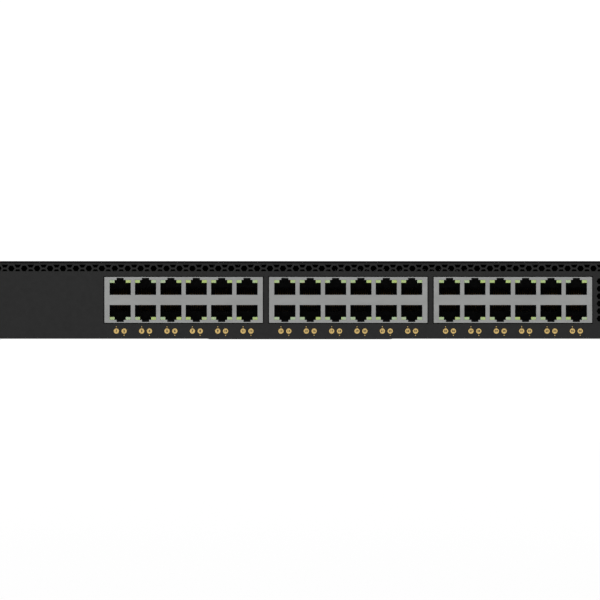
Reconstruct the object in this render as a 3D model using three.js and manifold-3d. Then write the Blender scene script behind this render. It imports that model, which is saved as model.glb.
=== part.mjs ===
// Rack-mount network switch, one rack unit high: stacked port blocks, pull-out power supplies and fans.
// Millimetres. X runs along the front panel, Y from front to rear, Z up, from the centre of the footprint.
import * as THREE from "three";
import { mergeVertices } from "three/addons/utils/BufferGeometryUtils.js";
import Module from "manifold-3d";

const wasm = await Module();
wasm.setup();

// ---------------------------------------------------------------- driving dimensions
const CHASSIS_WIDTH = 440;
const CHASSIS_HEIGHT = 43.2;
const CHASSIS_DEPTH = 400;
const RACK_WIDTH = 482.6; // over the ears of a 19-inch rack
const RACK_HOLE_SPACING_X = 465.1;
const RACK_HOLE_SPACING_Z = 31.75;
const PORT_PROUD = 0.5; // how far the metal port shells stand out of the front panel
const HANDLE_REACH = 28.5; // from the rear of the chassis to the end of a supply's handle
const GAP = 0.3; // between touching pieces
const BASE_SHEET = 1.0;
const SHEET = 0.8;

const PAD_DEPTH = 0.3; // stiffening pad pressed down out of the base
const PAD_HALF_WIDTH = 50.9;
const PAD_SLOPE = 0.75;
const PAD_Y = [1.1, 330];

const HALF_WIDTH = CHASSIS_WIDTH / 2;
const BOTTOM_Z = PAD_DEPTH;
const TOP_Z = BOTTOM_Z + CHASSIS_HEIGHT;
const MID_Z = (BOTTOM_Z + TOP_Z) / 2;
const FLOOR_Z = BOTTOM_Z + BASE_SHEET; // upper face of the base sheet
const LID_Z = TOP_Z - SHEET; // lower face of the cover
const WALL_TOP_Z = LID_Z - GAP;
const PANEL_TOP_Z = LID_Z - 0.4;
const BASE_FRONT_Y = SHEET + GAP;
const DEPTH_CENTRE = (CHASSIS_DEPTH + HANDLE_REACH - PORT_PROUD) / 2;

// stacked port blocks
const PORTS_PER_ROW = 6;
const BLOCK_PITCH = 91.6;
const MIDDLE_BLOCK_X = 26.85;
const JACK_PITCH = 14.11;
const BLOCK_SIDE_MARGIN = 1.72;
const BLOCK_HALF_HEIGHT = 12.75;
const JACK_HALF_WIDTH = 5.9;
const JACK_NEAR_Z = 2.81; // heights of an opening's steps, from the block's middle
const JACK_LAMP_Z = 9.46;
const JACK_STEP_Z = 11.13;
const JACK_NOTCH_Z = 12.3;
const JACK_STEP_HALF = 3.06;
const JACK_NOTCH_HALF = 1.98;
const JACK_DEPTH = 14.5;
const SHIELD_DEPTH = 24;
const SHIELD_SHEET = 0.5;
const CUTOUT_MARGIN = 0.45;
const MANAGEMENT_X = -206.3;

// vents
const HEX_PITCH = 4.156;
const HEX_FLATS = 3.14;
const TOP_VENT_Z = 39.42;
const TOP_VENT_X = -2.28;
const TOP_VENT_COUNT = 60;
const SIDE_VENT_X = 166.8;
const SIDE_VENT_COLUMNS = 3;
const COLUMN_STEP = Math.sin(Math.PI / 3);
const GRILLE_PITCH = 7.5;
const GRILLE_FLATS = 6.5;
const GRILLE_RINGS = 2;

// other front ports
const USB_A = { x: -187.4, z: [9.0, 14.8], half: 6.6, depth: 15, wall: 0.4 };
const USB_A_TONGUE = { half: 5.5, z: [12.2, 13.6] };
const USB_C = { x: -173.9, z: [9.0, 12.4], half: 4.5, depth: 10, wall: 0.35 };
const USB_C_TONGUE = { half: 3.2, z: [10.35, 11.05] };
const SFP = { x: 195, half: 14.7, wall: 0.5, back: 3, cell: [13.85, 8.8], halfHeight: 12, depth: 48 };
const LAMP_XS = [-186.5, -181.5, -176.5, -171.5];
const LAMP_Z = 30;
const LAMP_RADIUS = 1.0;
const LAMP_BAR = { margin: 2, front: 3 };
const RESET_X = -192;
const RESET_Z = 24;
const RESET_RADIUS = 0.9;
const RESET_HALF = 3;
const RESET_FRONT = 4.6;
const BUTTON_Y = [1.6, 6.0];

// boards
const BOARD_Z = [7.1, 8.7];
const BOARD_HALF_WIDTH = 214;
const BOARD_Y = [4, 146, 352]; // front, step beside the supply bay, rear
const BAY_EDGE_X = -63;
const STUDS = [[-190, 100], [-70, 100], [0, 100], [90, 100], [200, 100], [-30, 200], [90, 260], [200, 200],
  [-30, 330], [200, 330]];
const STUD_RADIUS = 3;
const INDICATOR_BOARD = { x: [-197, -168.5], y: [8.2, 9.8], z: [16.5, 35] };
const CHIP_AT = { x: 60, y: 170, half: 25, z: [9.0, 12.2] };
const SINK_HALF = 45; // switch chip's heat sink
const PHY_SINK = { half: 38, y: [34, 74], top: 36 };
const GROUND_AT = [202, 12];
const EDGE_Z = [6.0, 7.6]; // a supply's board, whose front edge plugs into the backplane
const BACKPLANE = { x: [-214, -66], y: [150, 151.6], z: [3, 39] };
const BACKPLANE_SOCKET = { half: 28, y: [151, 167], z: [2.5, 11] };
const BACKPLANE_SLOT = { half: 25, y: [155, 168], z: [EDGE_Z[0] - 0.7, EDGE_Z[1] + 0.7] };
const PROCESSOR = { x: [150, 205], y: [150, 215], z: [14, 15.6] };
const MEMORY = { x: [160, 195], y: [158, 200], z: [15, 22] };
const PROCESSOR_SOCKET = { x: [165, 190], y: [206, 212], z: [9, 14.5] };

// fans
const FAN_SIZE = 40;
const SUPPLY_FAN_SIZE = 36;
const FAN_DEPTH = 28;
const FAN_Z = 21.6;
const FAN_XS = [-14, 70, 154];
const FAN_FRONT_Y = 369;
const BAFFLE_Y = [355, 363];
const BAFFLE_DROP = 6;
const FAN_BORE = 0.472; // radii as shares of the fan's size
const FAN_TIP = 0.448;
const FAN_HUB = 0.225;
const BLADE_CHORD = 0.34;
const FAN_BLADES = 7;
const BLADE_PITCH = 38; // degrees

// power supplies
const SUPPLY_XS = { a: -180.55, b: -104.8 };
const SUPPLY_HALF_WIDTH = 36.75;
const SUPPLY_Z = [2.0, 41.0];
const SUPPLY_Y = [170, 400.8];
const SUPPLY_MID_Z = (SUPPLY_Z[0] + SUPPLY_Z[1]) / 2;
const SUPPLY_FAN_DX = -15.6;
const INLET_DX = 18;
const INLET = { half: [12.7, 10.2], cavity: [11.7, 8.1], corner: 4, depth: 20, recess: 15 };
const BAY_CLEARANCE = 0.85;
const BAY_ROOF_Z = [41.6, 42.3];
const BAY_LEFT_X = -217.5;
const BAY_Y = [168, 399.7];
const BAY_LIP = 6; // fold at the front edge of the bay's roof
const LATCH = { dx: [33.65, 35.65], slotDx: 31.3, pivotY: 373, bendY: [403, 406], tipY: 418, z: [15, 28] };
LATCH.hook = 37.2; // 0.4 short of the bay's wall
LATCH.hookY = [385, 388, 389];
LATCH.catchY = [384, 392];
LATCH.pinRadius = 0.95;
const HANDLE = { half: 2.5, grip: 5, chamfer: 4, z: [4.5, 38.5] };
const INLET_PINS = [[-7, -2.5], [7, -2.5], [0, 3]];
// a supply's board and the parts on it, across the supply, along it and up
const SUPPLY_BOARD = [[-33, 33], [172, 364], EDGE_Z];
const SUPPLY_EDGE = [[-24, 24], [158, 173], EDGE_Z];
const TRANSFORMER = [[-30, -4], [235, 275], [7, 34]];
const CHOKE = [[6, 30], [240, 268], [7, 28]];
const SUPPLY_SINK = [[-30, -27], [285, 350], [7, 32]];
const CAPACITORS = { at: [[-2, 205], [22, 205], [8, 312]], radius: 10, z: [7, 36] };

// rack ears
const EAR = { flange: 2.0, z: [0.8, 43.0], legDepth: 62, slotHalf: 5.0, slotRadius: 3.4 };
const EAR_SCREWS = [[28, 12], [28, 24], [52, 12], [52, 24]];
const SCREW = { hole: 2.3, shank: 2.0, head: 3.9, headHeight: 2.2, length: 6 };

// ---------------------------------------------------------------- solids
const X_AXIS = new THREE.Vector3(1, 0, 0);
const Y_AXIS = new THREE.Vector3(0, 1, 0);
const Z_AXIS = new THREE.Vector3(0, 0, 1);

function solid(geometry) {
  const bare = geometry.clone();
  bare.deleteAttribute("normal");
  bare.deleteAttribute("uv");
  const merged = mergeVertices(bare, 1e-4);
  return new wasm.Manifold(new wasm.Mesh({
    numProp: 3,
    vertProperties: merged.attributes.position.array,
    triVerts: new Uint32Array(merged.index.array),
  }));
}

const join = (solids) => solids.reduce((all, next) => all.add(next));
const cut = (body, tools) => body.subtract(join(tools));

function box([x0, x1], [y0, y1], [z0, z1]) {
  const geometry = new THREE.BoxGeometry(x1 - x0, y1 - y0, z1 - z0);
  return solid(geometry.translate((x0 + x1) / 2, (y0 + y1) / 2, (z0 + z1) / 2));
}

// An outline of [u, v] points swept between two places: along Z it is [x, y], along Y [x, z], along X [y, z].
function prism(outline, axis, [from, to]) {
  const shape = new THREE.Shape(outline.map(([u, v]) => new THREE.Vector2(u, v)));
  const geometry = new THREE.ExtrudeGeometry(shape, { depth: to - from, bevelEnabled: false });
  const basis = new THREE.Matrix4();
  if (axis === "y") basis.makeBasis(X_AXIS, Z_AXIS, Y_AXIS.clone().negate()).setPosition(0, to, 0);
  else if (axis === "x") basis.makeBasis(Y_AXIS, Z_AXIS, X_AXIS).setPosition(from, 0, 0);
  else basis.setPosition(0, 0, from);
  return solid(geometry.applyMatrix4(basis));
}

// Points of a circle or polygon about [u, v].
function ring([u, v], radius, sides, turn = 0) {
  return Array.from({ length: sides }, (_, i) => {
    const angle = turn + (2 * Math.PI * i) / sides;
    return [u + radius * Math.cos(angle), v + radius * Math.sin(angle)];
  });
}

const rod = (axis, centre, radius, span, sides = 16) => prism(ring(centre, radius, sides), axis, span);

// A six-sided hole with corners at its left and right.
const hexHole = (x, z, flats, span) => prism(ring([x, z], flats / Math.sqrt(3), 6), "y", span);

function mesh(name, body, material) {
  const { vertProperties, triVerts } = body.getMesh();
  const geometry = new THREE.BufferGeometry();
  geometry.setAttribute("position", new THREE.BufferAttribute(new Float32Array(vertProperties), 3));
  geometry.setIndex(new THREE.BufferAttribute(new Uint32Array(triVerts), 1));
  geometry.computeVertexNormals();
  const made = new THREE.Mesh(geometry, material);
  made.name = name;
  return made;
}

// ---------------------------------------------------------------- materials
function material(colour, roughness, metalness) {
  return new THREE.MeshStandardMaterial({ color: colour, roughness, metalness });
}
const PANEL_PAINT = material(0x2c2c2c, 0.6, 0.1);
const CHASSIS_PAINT = material(0x1c1c1c, 0.6, 0.1);
const NICKEL = material(0x949694, 0.35, 0.9);
const BLACK_PLASTIC = material(0x0c0c0c, 0.6, 0);
const ZINC = material(0xb4b6b8, 0.4, 0.9);
const CIRCUIT_BOARD = material(0x14452a, 0.5, 0);
const ALUMINIUM = material(0xb9bcc0, 0.4, 0.9);
const CHIP = material(0x202224, 0.5, 0);
const LIGHT_PIPE = material(0xb4cc90, 0.3, 0);
const LATCH_PLASTIC = material(0x2e7d4f, 0.5, 0);

// ---------------------------------------------------------------- sheet metal
function chassisBase() {
  const pad = prism([
    [-PAD_HALF_WIDTH - PAD_SLOPE, FLOOR_Z], [-PAD_HALF_WIDTH - PAD_SLOPE, BOTTOM_Z],
    [-PAD_HALF_WIDTH + PAD_SLOPE, 0], [PAD_HALF_WIDTH - PAD_SLOPE, 0],
    [PAD_HALF_WIDTH + PAD_SLOPE, BOTTOM_Z], [PAD_HALF_WIDTH + PAD_SLOPE, FLOOR_Z],
  ], "y", PAD_Y);
  const length = [BASE_FRONT_Y, CHASSIS_DEPTH];
  const inner = HALF_WIDTH - BASE_SHEET;
  const rearWall = [CHASSIS_DEPTH - BASE_SHEET, CHASSIS_DEPTH];
  const bayEnd = bayWallX("b") + SHEET + GAP;
  const tray = join([
    box([-HALF_WIDTH, HALF_WIDTH], length, [BOTTOM_Z, FLOOR_Z]),
    pad,
    box([-HALF_WIDTH, -inner], length, [BOTTOM_Z, WALL_TOP_Z]),
    box([inner, HALF_WIDTH], length, [BOTTOM_Z, WALL_TOP_Z]),
    box([bayEnd, HALF_WIDTH], rearWall, [BOTTOM_Z, WALL_TOP_Z]),
    box([bayEnd, inner - 2], [CHASSIS_DEPTH - 2.5, CHASSIS_DEPTH], [WALL_TOP_Z - BASE_SHEET, WALL_TOP_Z]),
    ...STUDS.map((at) => rod("z", at, STUD_RADIUS, [BOTTOM_Z + BASE_SHEET / 2, BOARD_Z[0] - GAP], 8)),
  ]);
  const grilles = FAN_XS.flatMap((x) => grille(x, FAN_Z, [CHASSIS_DEPTH - 2, CHASSIS_DEPTH + 1]));
  const screwHoles = EAR_SCREWS.flatMap((at) => [
    rod("x", at, SCREW.hole, [-HALF_WIDTH - 1, -inner + 1], 12),
    rod("x", at, SCREW.hole, [inner - 1, HALF_WIDTH + 1], 12),
  ]);
  const groundHole = rod("y", GROUND_AT, SCREW.hole, [CHASSIS_DEPTH - 2, CHASSIS_DEPTH + 1], 12);
  return cut(tray, [...grilles, ...screwHoles, groundHole]);
}

function topCover() {
  const flangeOuter = HALF_WIDTH - BASE_SHEET - GAP;
  const flangeZ = [30.5, LID_Z + SHEET / 2];
  return join([
    box([-HALF_WIDTH, HALF_WIDTH], [0.4, CHASSIS_DEPTH], [LID_Z, TOP_Z]),
    box([-flangeOuter, SHEET - flangeOuter], [8, CHASSIS_DEPTH - 2], flangeZ),
    box([flangeOuter - SHEET, flangeOuter], [8, CHASSIS_DEPTH - 2], flangeZ),
  ]);
}

function frontPanel() {
  const tabOuter = HALF_WIDTH - BASE_SHEET - GAP;
  const through = [-1, SHEET + 0.01];
  const topFlange = [PANEL_TOP_Z - SHEET, PANEL_TOP_Z];
  const plate = join([
    box([-HALF_WIDTH, HALF_WIDTH], [0, SHEET], [BOTTOM_Z, PANEL_TOP_Z]),
    box([4 - tabOuter, tabOuter - 4], [SHEET / 2, 9], topFlange),
    box([-tabOuter, SHEET - tabOuter], [SHEET / 2, 20], [3, 29.5]),
    box([tabOuter - SHEET, tabOuter], [SHEET / 2, 20], [3, 29.5]),
  ]);
  const window = (x, halfWidth, z) => box(
    [x - halfWidth - CUTOUT_MARGIN, x + halfWidth + CUTOUT_MARGIN], through,
    [z[0] - CUTOUT_MARGIN, z[1] + CUTOUT_MARGIN],
  );
  const blockZ = [MID_Z - BLOCK_HALF_HEIGHT, MID_Z + BLOCK_HALF_HEIGHT];
  const topVents = Array.from({ length: TOP_VENT_COUNT }, (_, i) => hexHole(
    TOP_VENT_X + (i - TOP_VENT_COUNT / 2 + 1) * 2 * COLUMN_STEP * HEX_PITCH, TOP_VENT_Z, HEX_FLATS, through,
  ));
  return cut(plate, [
    ...BLOCKS.map(({ x }) => window(x, blockHalfWidth(PORTS_PER_ROW), blockZ)),
    window(MANAGEMENT_X, blockHalfWidth(1), blockZ),
    window(USB_A.x, USB_A.half, USB_A.z),
    window(USB_C.x, USB_C.half, USB_C.z),
    window(SFP.x, SFP.half, [MID_Z - SFP.halfHeight, MID_Z + SFP.halfHeight]),
    ...topVents,
    ...sideVents(through),
    ...LAMP_XS.map((x) => rod("y", [x, LAMP_Z], LAMP_RADIUS + GAP, through, 8)),
    rod("y", [RESET_X, RESET_Z], RESET_RADIUS + GAP, through, 10),
  ]);
}

function sideVents(span) {
  const holes = [];
  for (let column = 0; column < SIDE_VENT_COLUMNS; column++) {
    const count = 6 + (column % 2);
    for (let row = 0; row < count; row++) {
      const z = MID_Z + (row - (count - 1) / 2) * HEX_PITCH;
      holes.push(hexHole(SIDE_VENT_X + column * COLUMN_STEP * HEX_PITCH, z, HEX_FLATS, span));
    }
  }
  return holes;
}

// A round honeycomb field for a fan.
function grille(x, z, span) {
  const holes = [];
  for (let q = -GRILLE_RINGS; q <= GRILLE_RINGS; q++) {
    for (let r = -GRILLE_RINGS; r <= GRILLE_RINGS; r++) {
      if (Math.abs(q + r) > GRILLE_RINGS) continue;
      const at = [x + q * COLUMN_STEP * GRILLE_PITCH, z + (r + q / 2) * GRILLE_PITCH];
      holes.push(hexHole(at[0], at[1], GRILLE_FLATS, span));
    }
  }
  return holes;
}

// Left face of the wall that a supply's latch hooks into.
function bayWallX(supply) {
  return SUPPLY_XS[supply] + SUPPLY_HALF_WIDTH + BAY_CLEARANCE;
}

function supplyBayFrame() {
  const wallZ = [FLOOR_Z + GAP, BAY_ROOF_Z[1]];
  const walls = Object.keys(SUPPLY_XS).map((supply) => {
    const x = bayWallX(supply);
    const catchWindow = box([x - 1, x + SHEET + 1], LATCH.catchY, [LATCH.z[0] + 1, LATCH.z[1] - 1]);
    return cut(box([x, x + SHEET], BAY_Y, wallZ), [catchWindow]);
  });
  const roofX = [BAY_LEFT_X, bayWallX("b") + SHEET];
  return join([
    ...walls,
    box(roofX, BAY_Y, BAY_ROOF_Z),
    box(roofX, [BAY_Y[0], BAY_Y[0] + SHEET], [BAY_ROOF_Z[1] - BAY_LIP, BAY_ROOF_Z[1]]),
  ]);
}

// A folded strip under the cover that closes the space above the fans.
function airBaffle() {
  const [front, rear] = BAFFLE_Y;
  const low = WALL_TOP_Z - BAFFLE_DROP;
  return prism([
    [front, WALL_TOP_Z], [front, WALL_TOP_Z - SHEET], [rear - SHEET, WALL_TOP_Z - SHEET],
    [rear - SHEET, low], [rear, low], [rear, WALL_TOP_Z],
  ], "x", [bayWallX("b") + SHEET + GAP, HALF_WIDTH - 2.5]);
}

function rackEar(side) {
  const legInner = HALF_WIDTH + GAP;
  const legOuter = legInner + EAR.flange;
  const [low, high] = EAR.z;
  const bent = join([
    prism([[legInner, 0], [RACK_WIDTH / 2, 0], [RACK_WIDTH / 2, EAR.flange], [legOuter, EAR.flange],
      [legOuter, EAR.legDepth], [legInner, EAR.legDepth]], "z", [low, high]),
  ]);
  const slot = (z) => {
    const x = RACK_HOLE_SPACING_X / 2;
    const reach = EAR.slotHalf - EAR.slotRadius;
    const end = (towards) => Array.from({ length: 7 }, (_, i) => {
      const angle = (towards - 0.5 + i / 6) * Math.PI;
      const centre = x + reach * Math.cos(towards * Math.PI);
      return [centre + EAR.slotRadius * Math.cos(angle), z + EAR.slotRadius * Math.sin(angle)];
    });
    return prism([...end(0), ...end(1)], "y", [-1, EAR.flange + 1]);
  };
  const made = cut(bent, [
    slot(MID_Z - RACK_HOLE_SPACING_Z / 2), slot(MID_Z + RACK_HOLE_SPACING_Z / 2),
    ...EAR_SCREWS.map((at) => rod("x", at, SCREW.hole, [legInner - 1, legOuter + 1], 12)),
  ]);
  return side < 0 ? made.mirror([1, 0, 0]) : made;
}

// ---------------------------------------------------------------- front ports
const BLOCKS = ["a", "b", "c"].map((letter, i) => ({ letter, x: MIDDLE_BLOCK_X + (i - 1) * BLOCK_PITCH }));
const blockHalfWidth = (columns) => (columns * JACK_PITCH) / 2 + BLOCK_SIDE_MARGIN;
const columnXs = (x, columns) => {
  const first = x - ((columns - 1) / 2) * JACK_PITCH;
  return Array.from({ length: columns }, (_, i) => first + i * JACK_PITCH);
};

// One opening in a port block's metal shell: row 1 has its latch notch up, row -1 down.
function shellOpening(x, row) {
  const z = (height) => MID_Z + row * height;
  return prism([
    [x - JACK_HALF_WIDTH, z(JACK_NEAR_Z)], [x + JACK_HALF_WIDTH, z(JACK_NEAR_Z)],
    [x + JACK_HALF_WIDTH, z(JACK_STEP_Z)], [x + JACK_NOTCH_HALF, z(JACK_STEP_Z)],
    [x + JACK_NOTCH_HALF, z(JACK_NOTCH_Z)], [x - JACK_NOTCH_HALF, z(JACK_NOTCH_Z)],
    [x - JACK_NOTCH_HALF, z(JACK_STEP_Z)], [x - JACK_HALF_WIDTH, z(JACK_STEP_Z)],
  ], "y", [-2, GAP / 2]);
}

function jackShield(x, columns) {
  const half = blockHalfWidth(columns);
  const low = MID_Z - BLOCK_HALF_HEIGHT;
  const high = MID_Z + BLOCK_HALF_HEIGHT;
  const can = cut(box([x - half, x + half], [-PORT_PROUD, SHIELD_DEPTH], [low, high]), [
    box([x - half + SHIELD_SHEET, x + half - SHIELD_SHEET], [0, SHIELD_DEPTH - SHIELD_SHEET],
      [low - 1, high - SHIELD_SHEET]),
  ]);
  // The front sheet reaches down to the block's lower edge, which the hollow has opened.
  return cut(can, columnXs(x, columns).flatMap((at) => [shellOpening(at, 1), shellOpening(at, -1)]));
}

// The space for one plug inside the plastic housing, stepped for its latch and for the two lamps beside it.
function plugCavity(x, row) {
  const z = (height) => MID_Z + row * height;
  const notch = JACK_NOTCH_Z - 0.7;
  const right = [
    [JACK_HALF_WIDTH, JACK_NEAR_Z], [JACK_HALF_WIDTH, JACK_LAMP_Z], [JACK_STEP_HALF, JACK_LAMP_Z],
    [JACK_STEP_HALF, JACK_STEP_Z], [JACK_NOTCH_HALF, JACK_STEP_Z], [JACK_NOTCH_HALF, notch],
  ];
  const left = right.map(([u, v]) => [-u, v]).reverse();
  return prism([...right, ...left].map(([u, v]) => [x + u, z(v)]), "y", [-1, JACK_DEPTH]);
}

function jackHousing(x, columns) {
  const half = blockHalfWidth(columns) - SHIELD_SHEET - GAP;
  const body = box([x - half, x + half], [GAP, SHIELD_DEPTH - SHIELD_SHEET - GAP],
    [MID_Z - BLOCK_HALF_HEIGHT, MID_Z + BLOCK_HALF_HEIGHT - SHIELD_SHEET - GAP]);
  return cut(body, columnXs(x, columns).flatMap((at) => [plugCavity(at, 1), plugCavity(at, -1)]));
}

// A folded metal receptacle with a tongue inside.
function receptacle({ x, z, half, depth, wall }, tongue) {
  const shell = cut(box([x - half, x + half], [-PORT_PROUD, depth], z), [
    box([x - half + wall, x + half - wall], [-1, depth - 1], [z[0] + wall, z[1] - wall]),
  ]);
  return join([shell, box([x - tongue.half, x + tongue.half], [1, depth], tongue.z)]);
}

function sfpCage() {
  const [cellWidth, cellHeight] = SFP.cell;
  const body = box([SFP.x - SFP.half, SFP.x + SFP.half], [-PORT_PROUD, SFP.depth],
    [MID_Z - SFP.halfHeight, MID_Z + SFP.halfHeight]);
  const cells = [-1, 1].flatMap((side) => [-1, 1].map((row) => {
    const x = SFP.x + side * (SFP.half - SFP.wall - cellWidth / 2);
    const z = MID_Z + row * (SFP.halfHeight - SFP.wall - cellHeight / 2);
    return box([x - cellWidth / 2, x + cellWidth / 2], [-1, SFP.depth - SFP.back],
      [z - cellHeight / 2, z + cellHeight / 2]);
  }));
  return cut(body, cells);
}

function indicatorBoard() {
  const { x, y, z } = INDICATOR_BOARD;
  return box(x, y, z);
}

function statusLightPipe() {
  const { margin, front } = LAMP_BAR;
  const bar = box([LAMP_XS[0] - margin, LAMP_XS.at(-1) + margin], [front, INDICATOR_BOARD.y[0] - GAP],
    [LAMP_Z - margin, LAMP_Z + margin]);
  return join([bar, ...LAMP_XS.map((x) => rod("y", [x, LAMP_Z], LAMP_RADIUS, [0.2, 4], 8))]);
}

function resetSwitch() {
  const body = box([RESET_X - RESET_HALF, RESET_X + RESET_HALF], [RESET_FRONT, INDICATOR_BOARD.y[0] - GAP],
    [RESET_Z - RESET_HALF, RESET_Z + RESET_HALF]);
  const well = [RESET_FRONT - 0.6, BUTTON_Y[1] + 0.8];
  return cut(body, [rod("y", [RESET_X, RESET_Z], RESET_RADIUS + GAP, well, 12)]);
}

const resetButton = () => rod("y", [RESET_X, RESET_Z], RESET_RADIUS, BUTTON_Y, 12);

// ---------------------------------------------------------------- electronics
function mainBoard() {
  const [front, step, rear] = BOARD_Y;
  return prism([
    [-BOARD_HALF_WIDTH, front], [BOARD_HALF_WIDTH, front], [BOARD_HALF_WIDTH, rear],
    [BAY_EDGE_X, rear], [BAY_EDGE_X, step], [-BOARD_HALF_WIDTH, step],
  ], "z", BOARD_Z);
}

// An extruded heat sink: a base with fins that run from front to rear.
function heatsink([x0, x1], span, [z0, z1], fins) {
  const base = 4;
  const fin = 1.2;
  const step = (x1 - x0 - fin) / (fins - 1);
  const comb = Array.from({ length: fins }, (_, i) => {
    const left = x0 + i * step;
    const corners = [[left, z1], [left + fin, z1]];
    if (i > 0) corners.unshift([left, z0 + base]);
    if (i < fins - 1) corners.push([left + fin, z0 + base]);
    return corners;
  }).flat();
  return prism([[x1, z0], [x0, z0], ...comb], "y", span);
}

function powerBackplane() {
  const around = (x, { half, y, z }) => box([x - half, x + half], y, z);
  const sockets = Object.values(SUPPLY_XS).map((x) =>
    cut(around(x, BACKPLANE_SOCKET), [around(x, BACKPLANE_SLOT)]));
  return join([box(BACKPLANE.x, BACKPLANE.y, BACKPLANE.z), ...sockets]);
}

function cpuModule() {
  return join([PROCESSOR, MEMORY, PROCESSOR_SOCKET].map(({ x, y, z }) => box(x, y, z)));
}

// ---------------------------------------------------------------- fans
function fanFrame(x, z, front, size) {
  const half = size / 2;
  const span = [front, front + FAN_DEPTH];
  const duct = cut(box([x - half, x + half], span, [z - half, z + half]), [
    rod("y", [x, z], FAN_BORE * size, [span[0] - 1, span[1] + 1], 24),
  ]);
  const strutSpan = [span[1] - 3, span[1]];
  const struts = [
    box([x - half + 0.5, x + half - 0.5], strutSpan, [z - 1.25, z + 1.25]),
    box([x - 1.25, x + 1.25], strutSpan, [z - half + 0.5, z + half - 0.5]),
  ];
  return join([duct, rod("y", [x, z], FAN_HUB * size, strutSpan, 12), ...struts]);
}

function fanRotor(x, z, front, size) {
  const span = [front + 2, front + FAN_DEPTH - 3.5];
  const middle = (span[0] + span[1]) / 2;
  const hub = FAN_HUB * size;
  const tip = FAN_TIP * size;
  const blades = Array.from({ length: FAN_BLADES }, (_, i) => {
    const blade = new THREE.BoxGeometry(tip - hub + 2, BLADE_CHORD * size, 1.1);
    blade.rotateX(THREE.MathUtils.degToRad(BLADE_PITCH)).translate((tip + hub) / 2 - 1, 0, 0);
    blade.rotateY((2 * Math.PI * i) / FAN_BLADES);
    return solid(blade.translate(x, middle, z));
  });
  return join([rod("y", [x, z], hub, span, 14), ...blades]);
}

// ---------------------------------------------------------------- power supplies
function supplyCase(x) {
  const [front, rear] = SUPPLY_Y;
  const [low, high] = SUPPLY_Z;
  const right = x + SUPPLY_HALF_WIDTH;
  const shell = cut(box([x - SUPPLY_HALF_WIDTH, right], SUPPLY_Y, SUPPLY_Z), [
    box([x - SUPPLY_HALF_WIDTH + SHEET, right - SHEET], [front - 1, rear - SHEET],
      [low + SHEET, high - SHEET]),
  ]);
  const rearSpan = [rear - 2, rear + 1];
  const [inletHalfX, inletHalfZ] = INLET.half;
  const inletX = x + INLET_DX;
  return cut(shell, [
    ...grille(x + SUPPLY_FAN_DX, SUPPLY_MID_Z, rearSpan),
    box([inletX - inletHalfX - GAP, inletX + inletHalfX + GAP], rearSpan,
      [SUPPLY_MID_Z - inletHalfZ - GAP, SUPPLY_MID_Z + inletHalfZ + GAP]),
    box([x + LATCH.slotDx, x + LATCH.dx[1] + GAP], rearSpan, [LATCH.z[0] - 1, LATCH.z[1] + 1]),
    box([right - 2, right + 1], [LATCH.catchY[0] - 2, LATCH.catchY[1] + 2],
      [LATCH.z[0] + 1, LATCH.z[1] - 1]),
  ]);
}

// The power converter's board with its larger parts, and the edge that plugs into the backplane.
function supplyBoard(x) {
  const { at, radius, z } = CAPACITORS;
  return join([
    ...[SUPPLY_BOARD, SUPPLY_EDGE, TRANSFORMER, CHOKE, SUPPLY_SINK].map(([across, along, up]) =>
      box([x + across[0], x + across[1]], along, up)),
    ...at.map(([dx, y]) => rod("z", [x + dx, y], radius, z, 16)),
  ]);
}

function supplyInlet(x) {
  const centre = x + INLET_DX;
  const [halfX, halfZ] = INLET.half;
  const [cavityX, cavityZ] = INLET.cavity;
  const rear = SUPPLY_Y[1] + 0.6;
  const front = rear - INLET.depth;
  const mouth = [
    [-cavityX, -cavityZ], [cavityX, -cavityZ], [cavityX, cavityZ - INLET.corner],
    [cavityX - INLET.corner, cavityZ], [INLET.corner - cavityX, cavityZ],
    [-cavityX, cavityZ - INLET.corner],
  ].map(([u, v]) => [centre + u, SUPPLY_MID_Z + v]);
  const pin = (dx, dz) => box([centre + dx - 1, centre + dx + 1], [front + 2, rear - 2],
    [SUPPLY_MID_Z + dz - 2, SUPPLY_MID_Z + dz + 2]);
  return join([
    cut(box([centre - halfX, centre + halfX], [front, rear], [SUPPLY_MID_Z - halfZ, SUPPLY_MID_Z + halfZ]),
      [prism(mouth, "y", [rear - INLET.recess, rear + 1])]),
    ...INLET_PINS.map(([dx, dz]) => pin(dx, dz)),
  ]);
}

function supplyHandle(x) {
  const centre = x + SUPPLY_FAN_DX;
  const root = SUPPLY_Y[1] + GAP;
  const end = CHASSIS_DEPTH + HANDLE_REACH;
  const { half, grip, chamfer } = HANDLE;
  const [low, high] = HANDLE.z;
  const outer = [[root, low], [end - chamfer, low], [end, low + chamfer], [end, high - chamfer],
    [end - chamfer, high], [root, high]];
  const inner = [[root - 1, low + grip], [end - grip - 1, low + grip], [end - grip, low + grip + 1],
    [end - grip, high - grip - 1], [end - grip - 1, high - grip], [root - 1, high - grip]];
  const span = [centre - half, centre + half];
  return cut(prism(outer, "x", span), [prism(inner, "x", [span[0] - 1, span[1] + 1])]);
}

function supplyLatch(x) {
  const [left, right] = LATCH.dx.map((dx) => x + dx);
  const hook = x + LATCH.hook;
  const { pivotY, bendY, tipY, z, pinRadius } = LATCH;
  const [rampFront, rampRear, hookRear] = LATCH.hookY;
  return join([
    prism([[left, pivotY - 2], [right, pivotY - 2], [right, bendY[0]], [right + 1, bendY[1]],
      [right + 1, tipY], [left, tipY]], "z", z),
    prism([[right - 1, rampFront], [right, rampFront], [hook, rampRear], [hook, hookRear],
      [right - 1, hookRear]], "z", [z[0] + 2, z[1] - 2]),
    rod("z", [(left + right) / 2, pivotY], pinRadius, [z[0] - 3, z[1] + 3], 10),
  ]);
}

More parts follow.
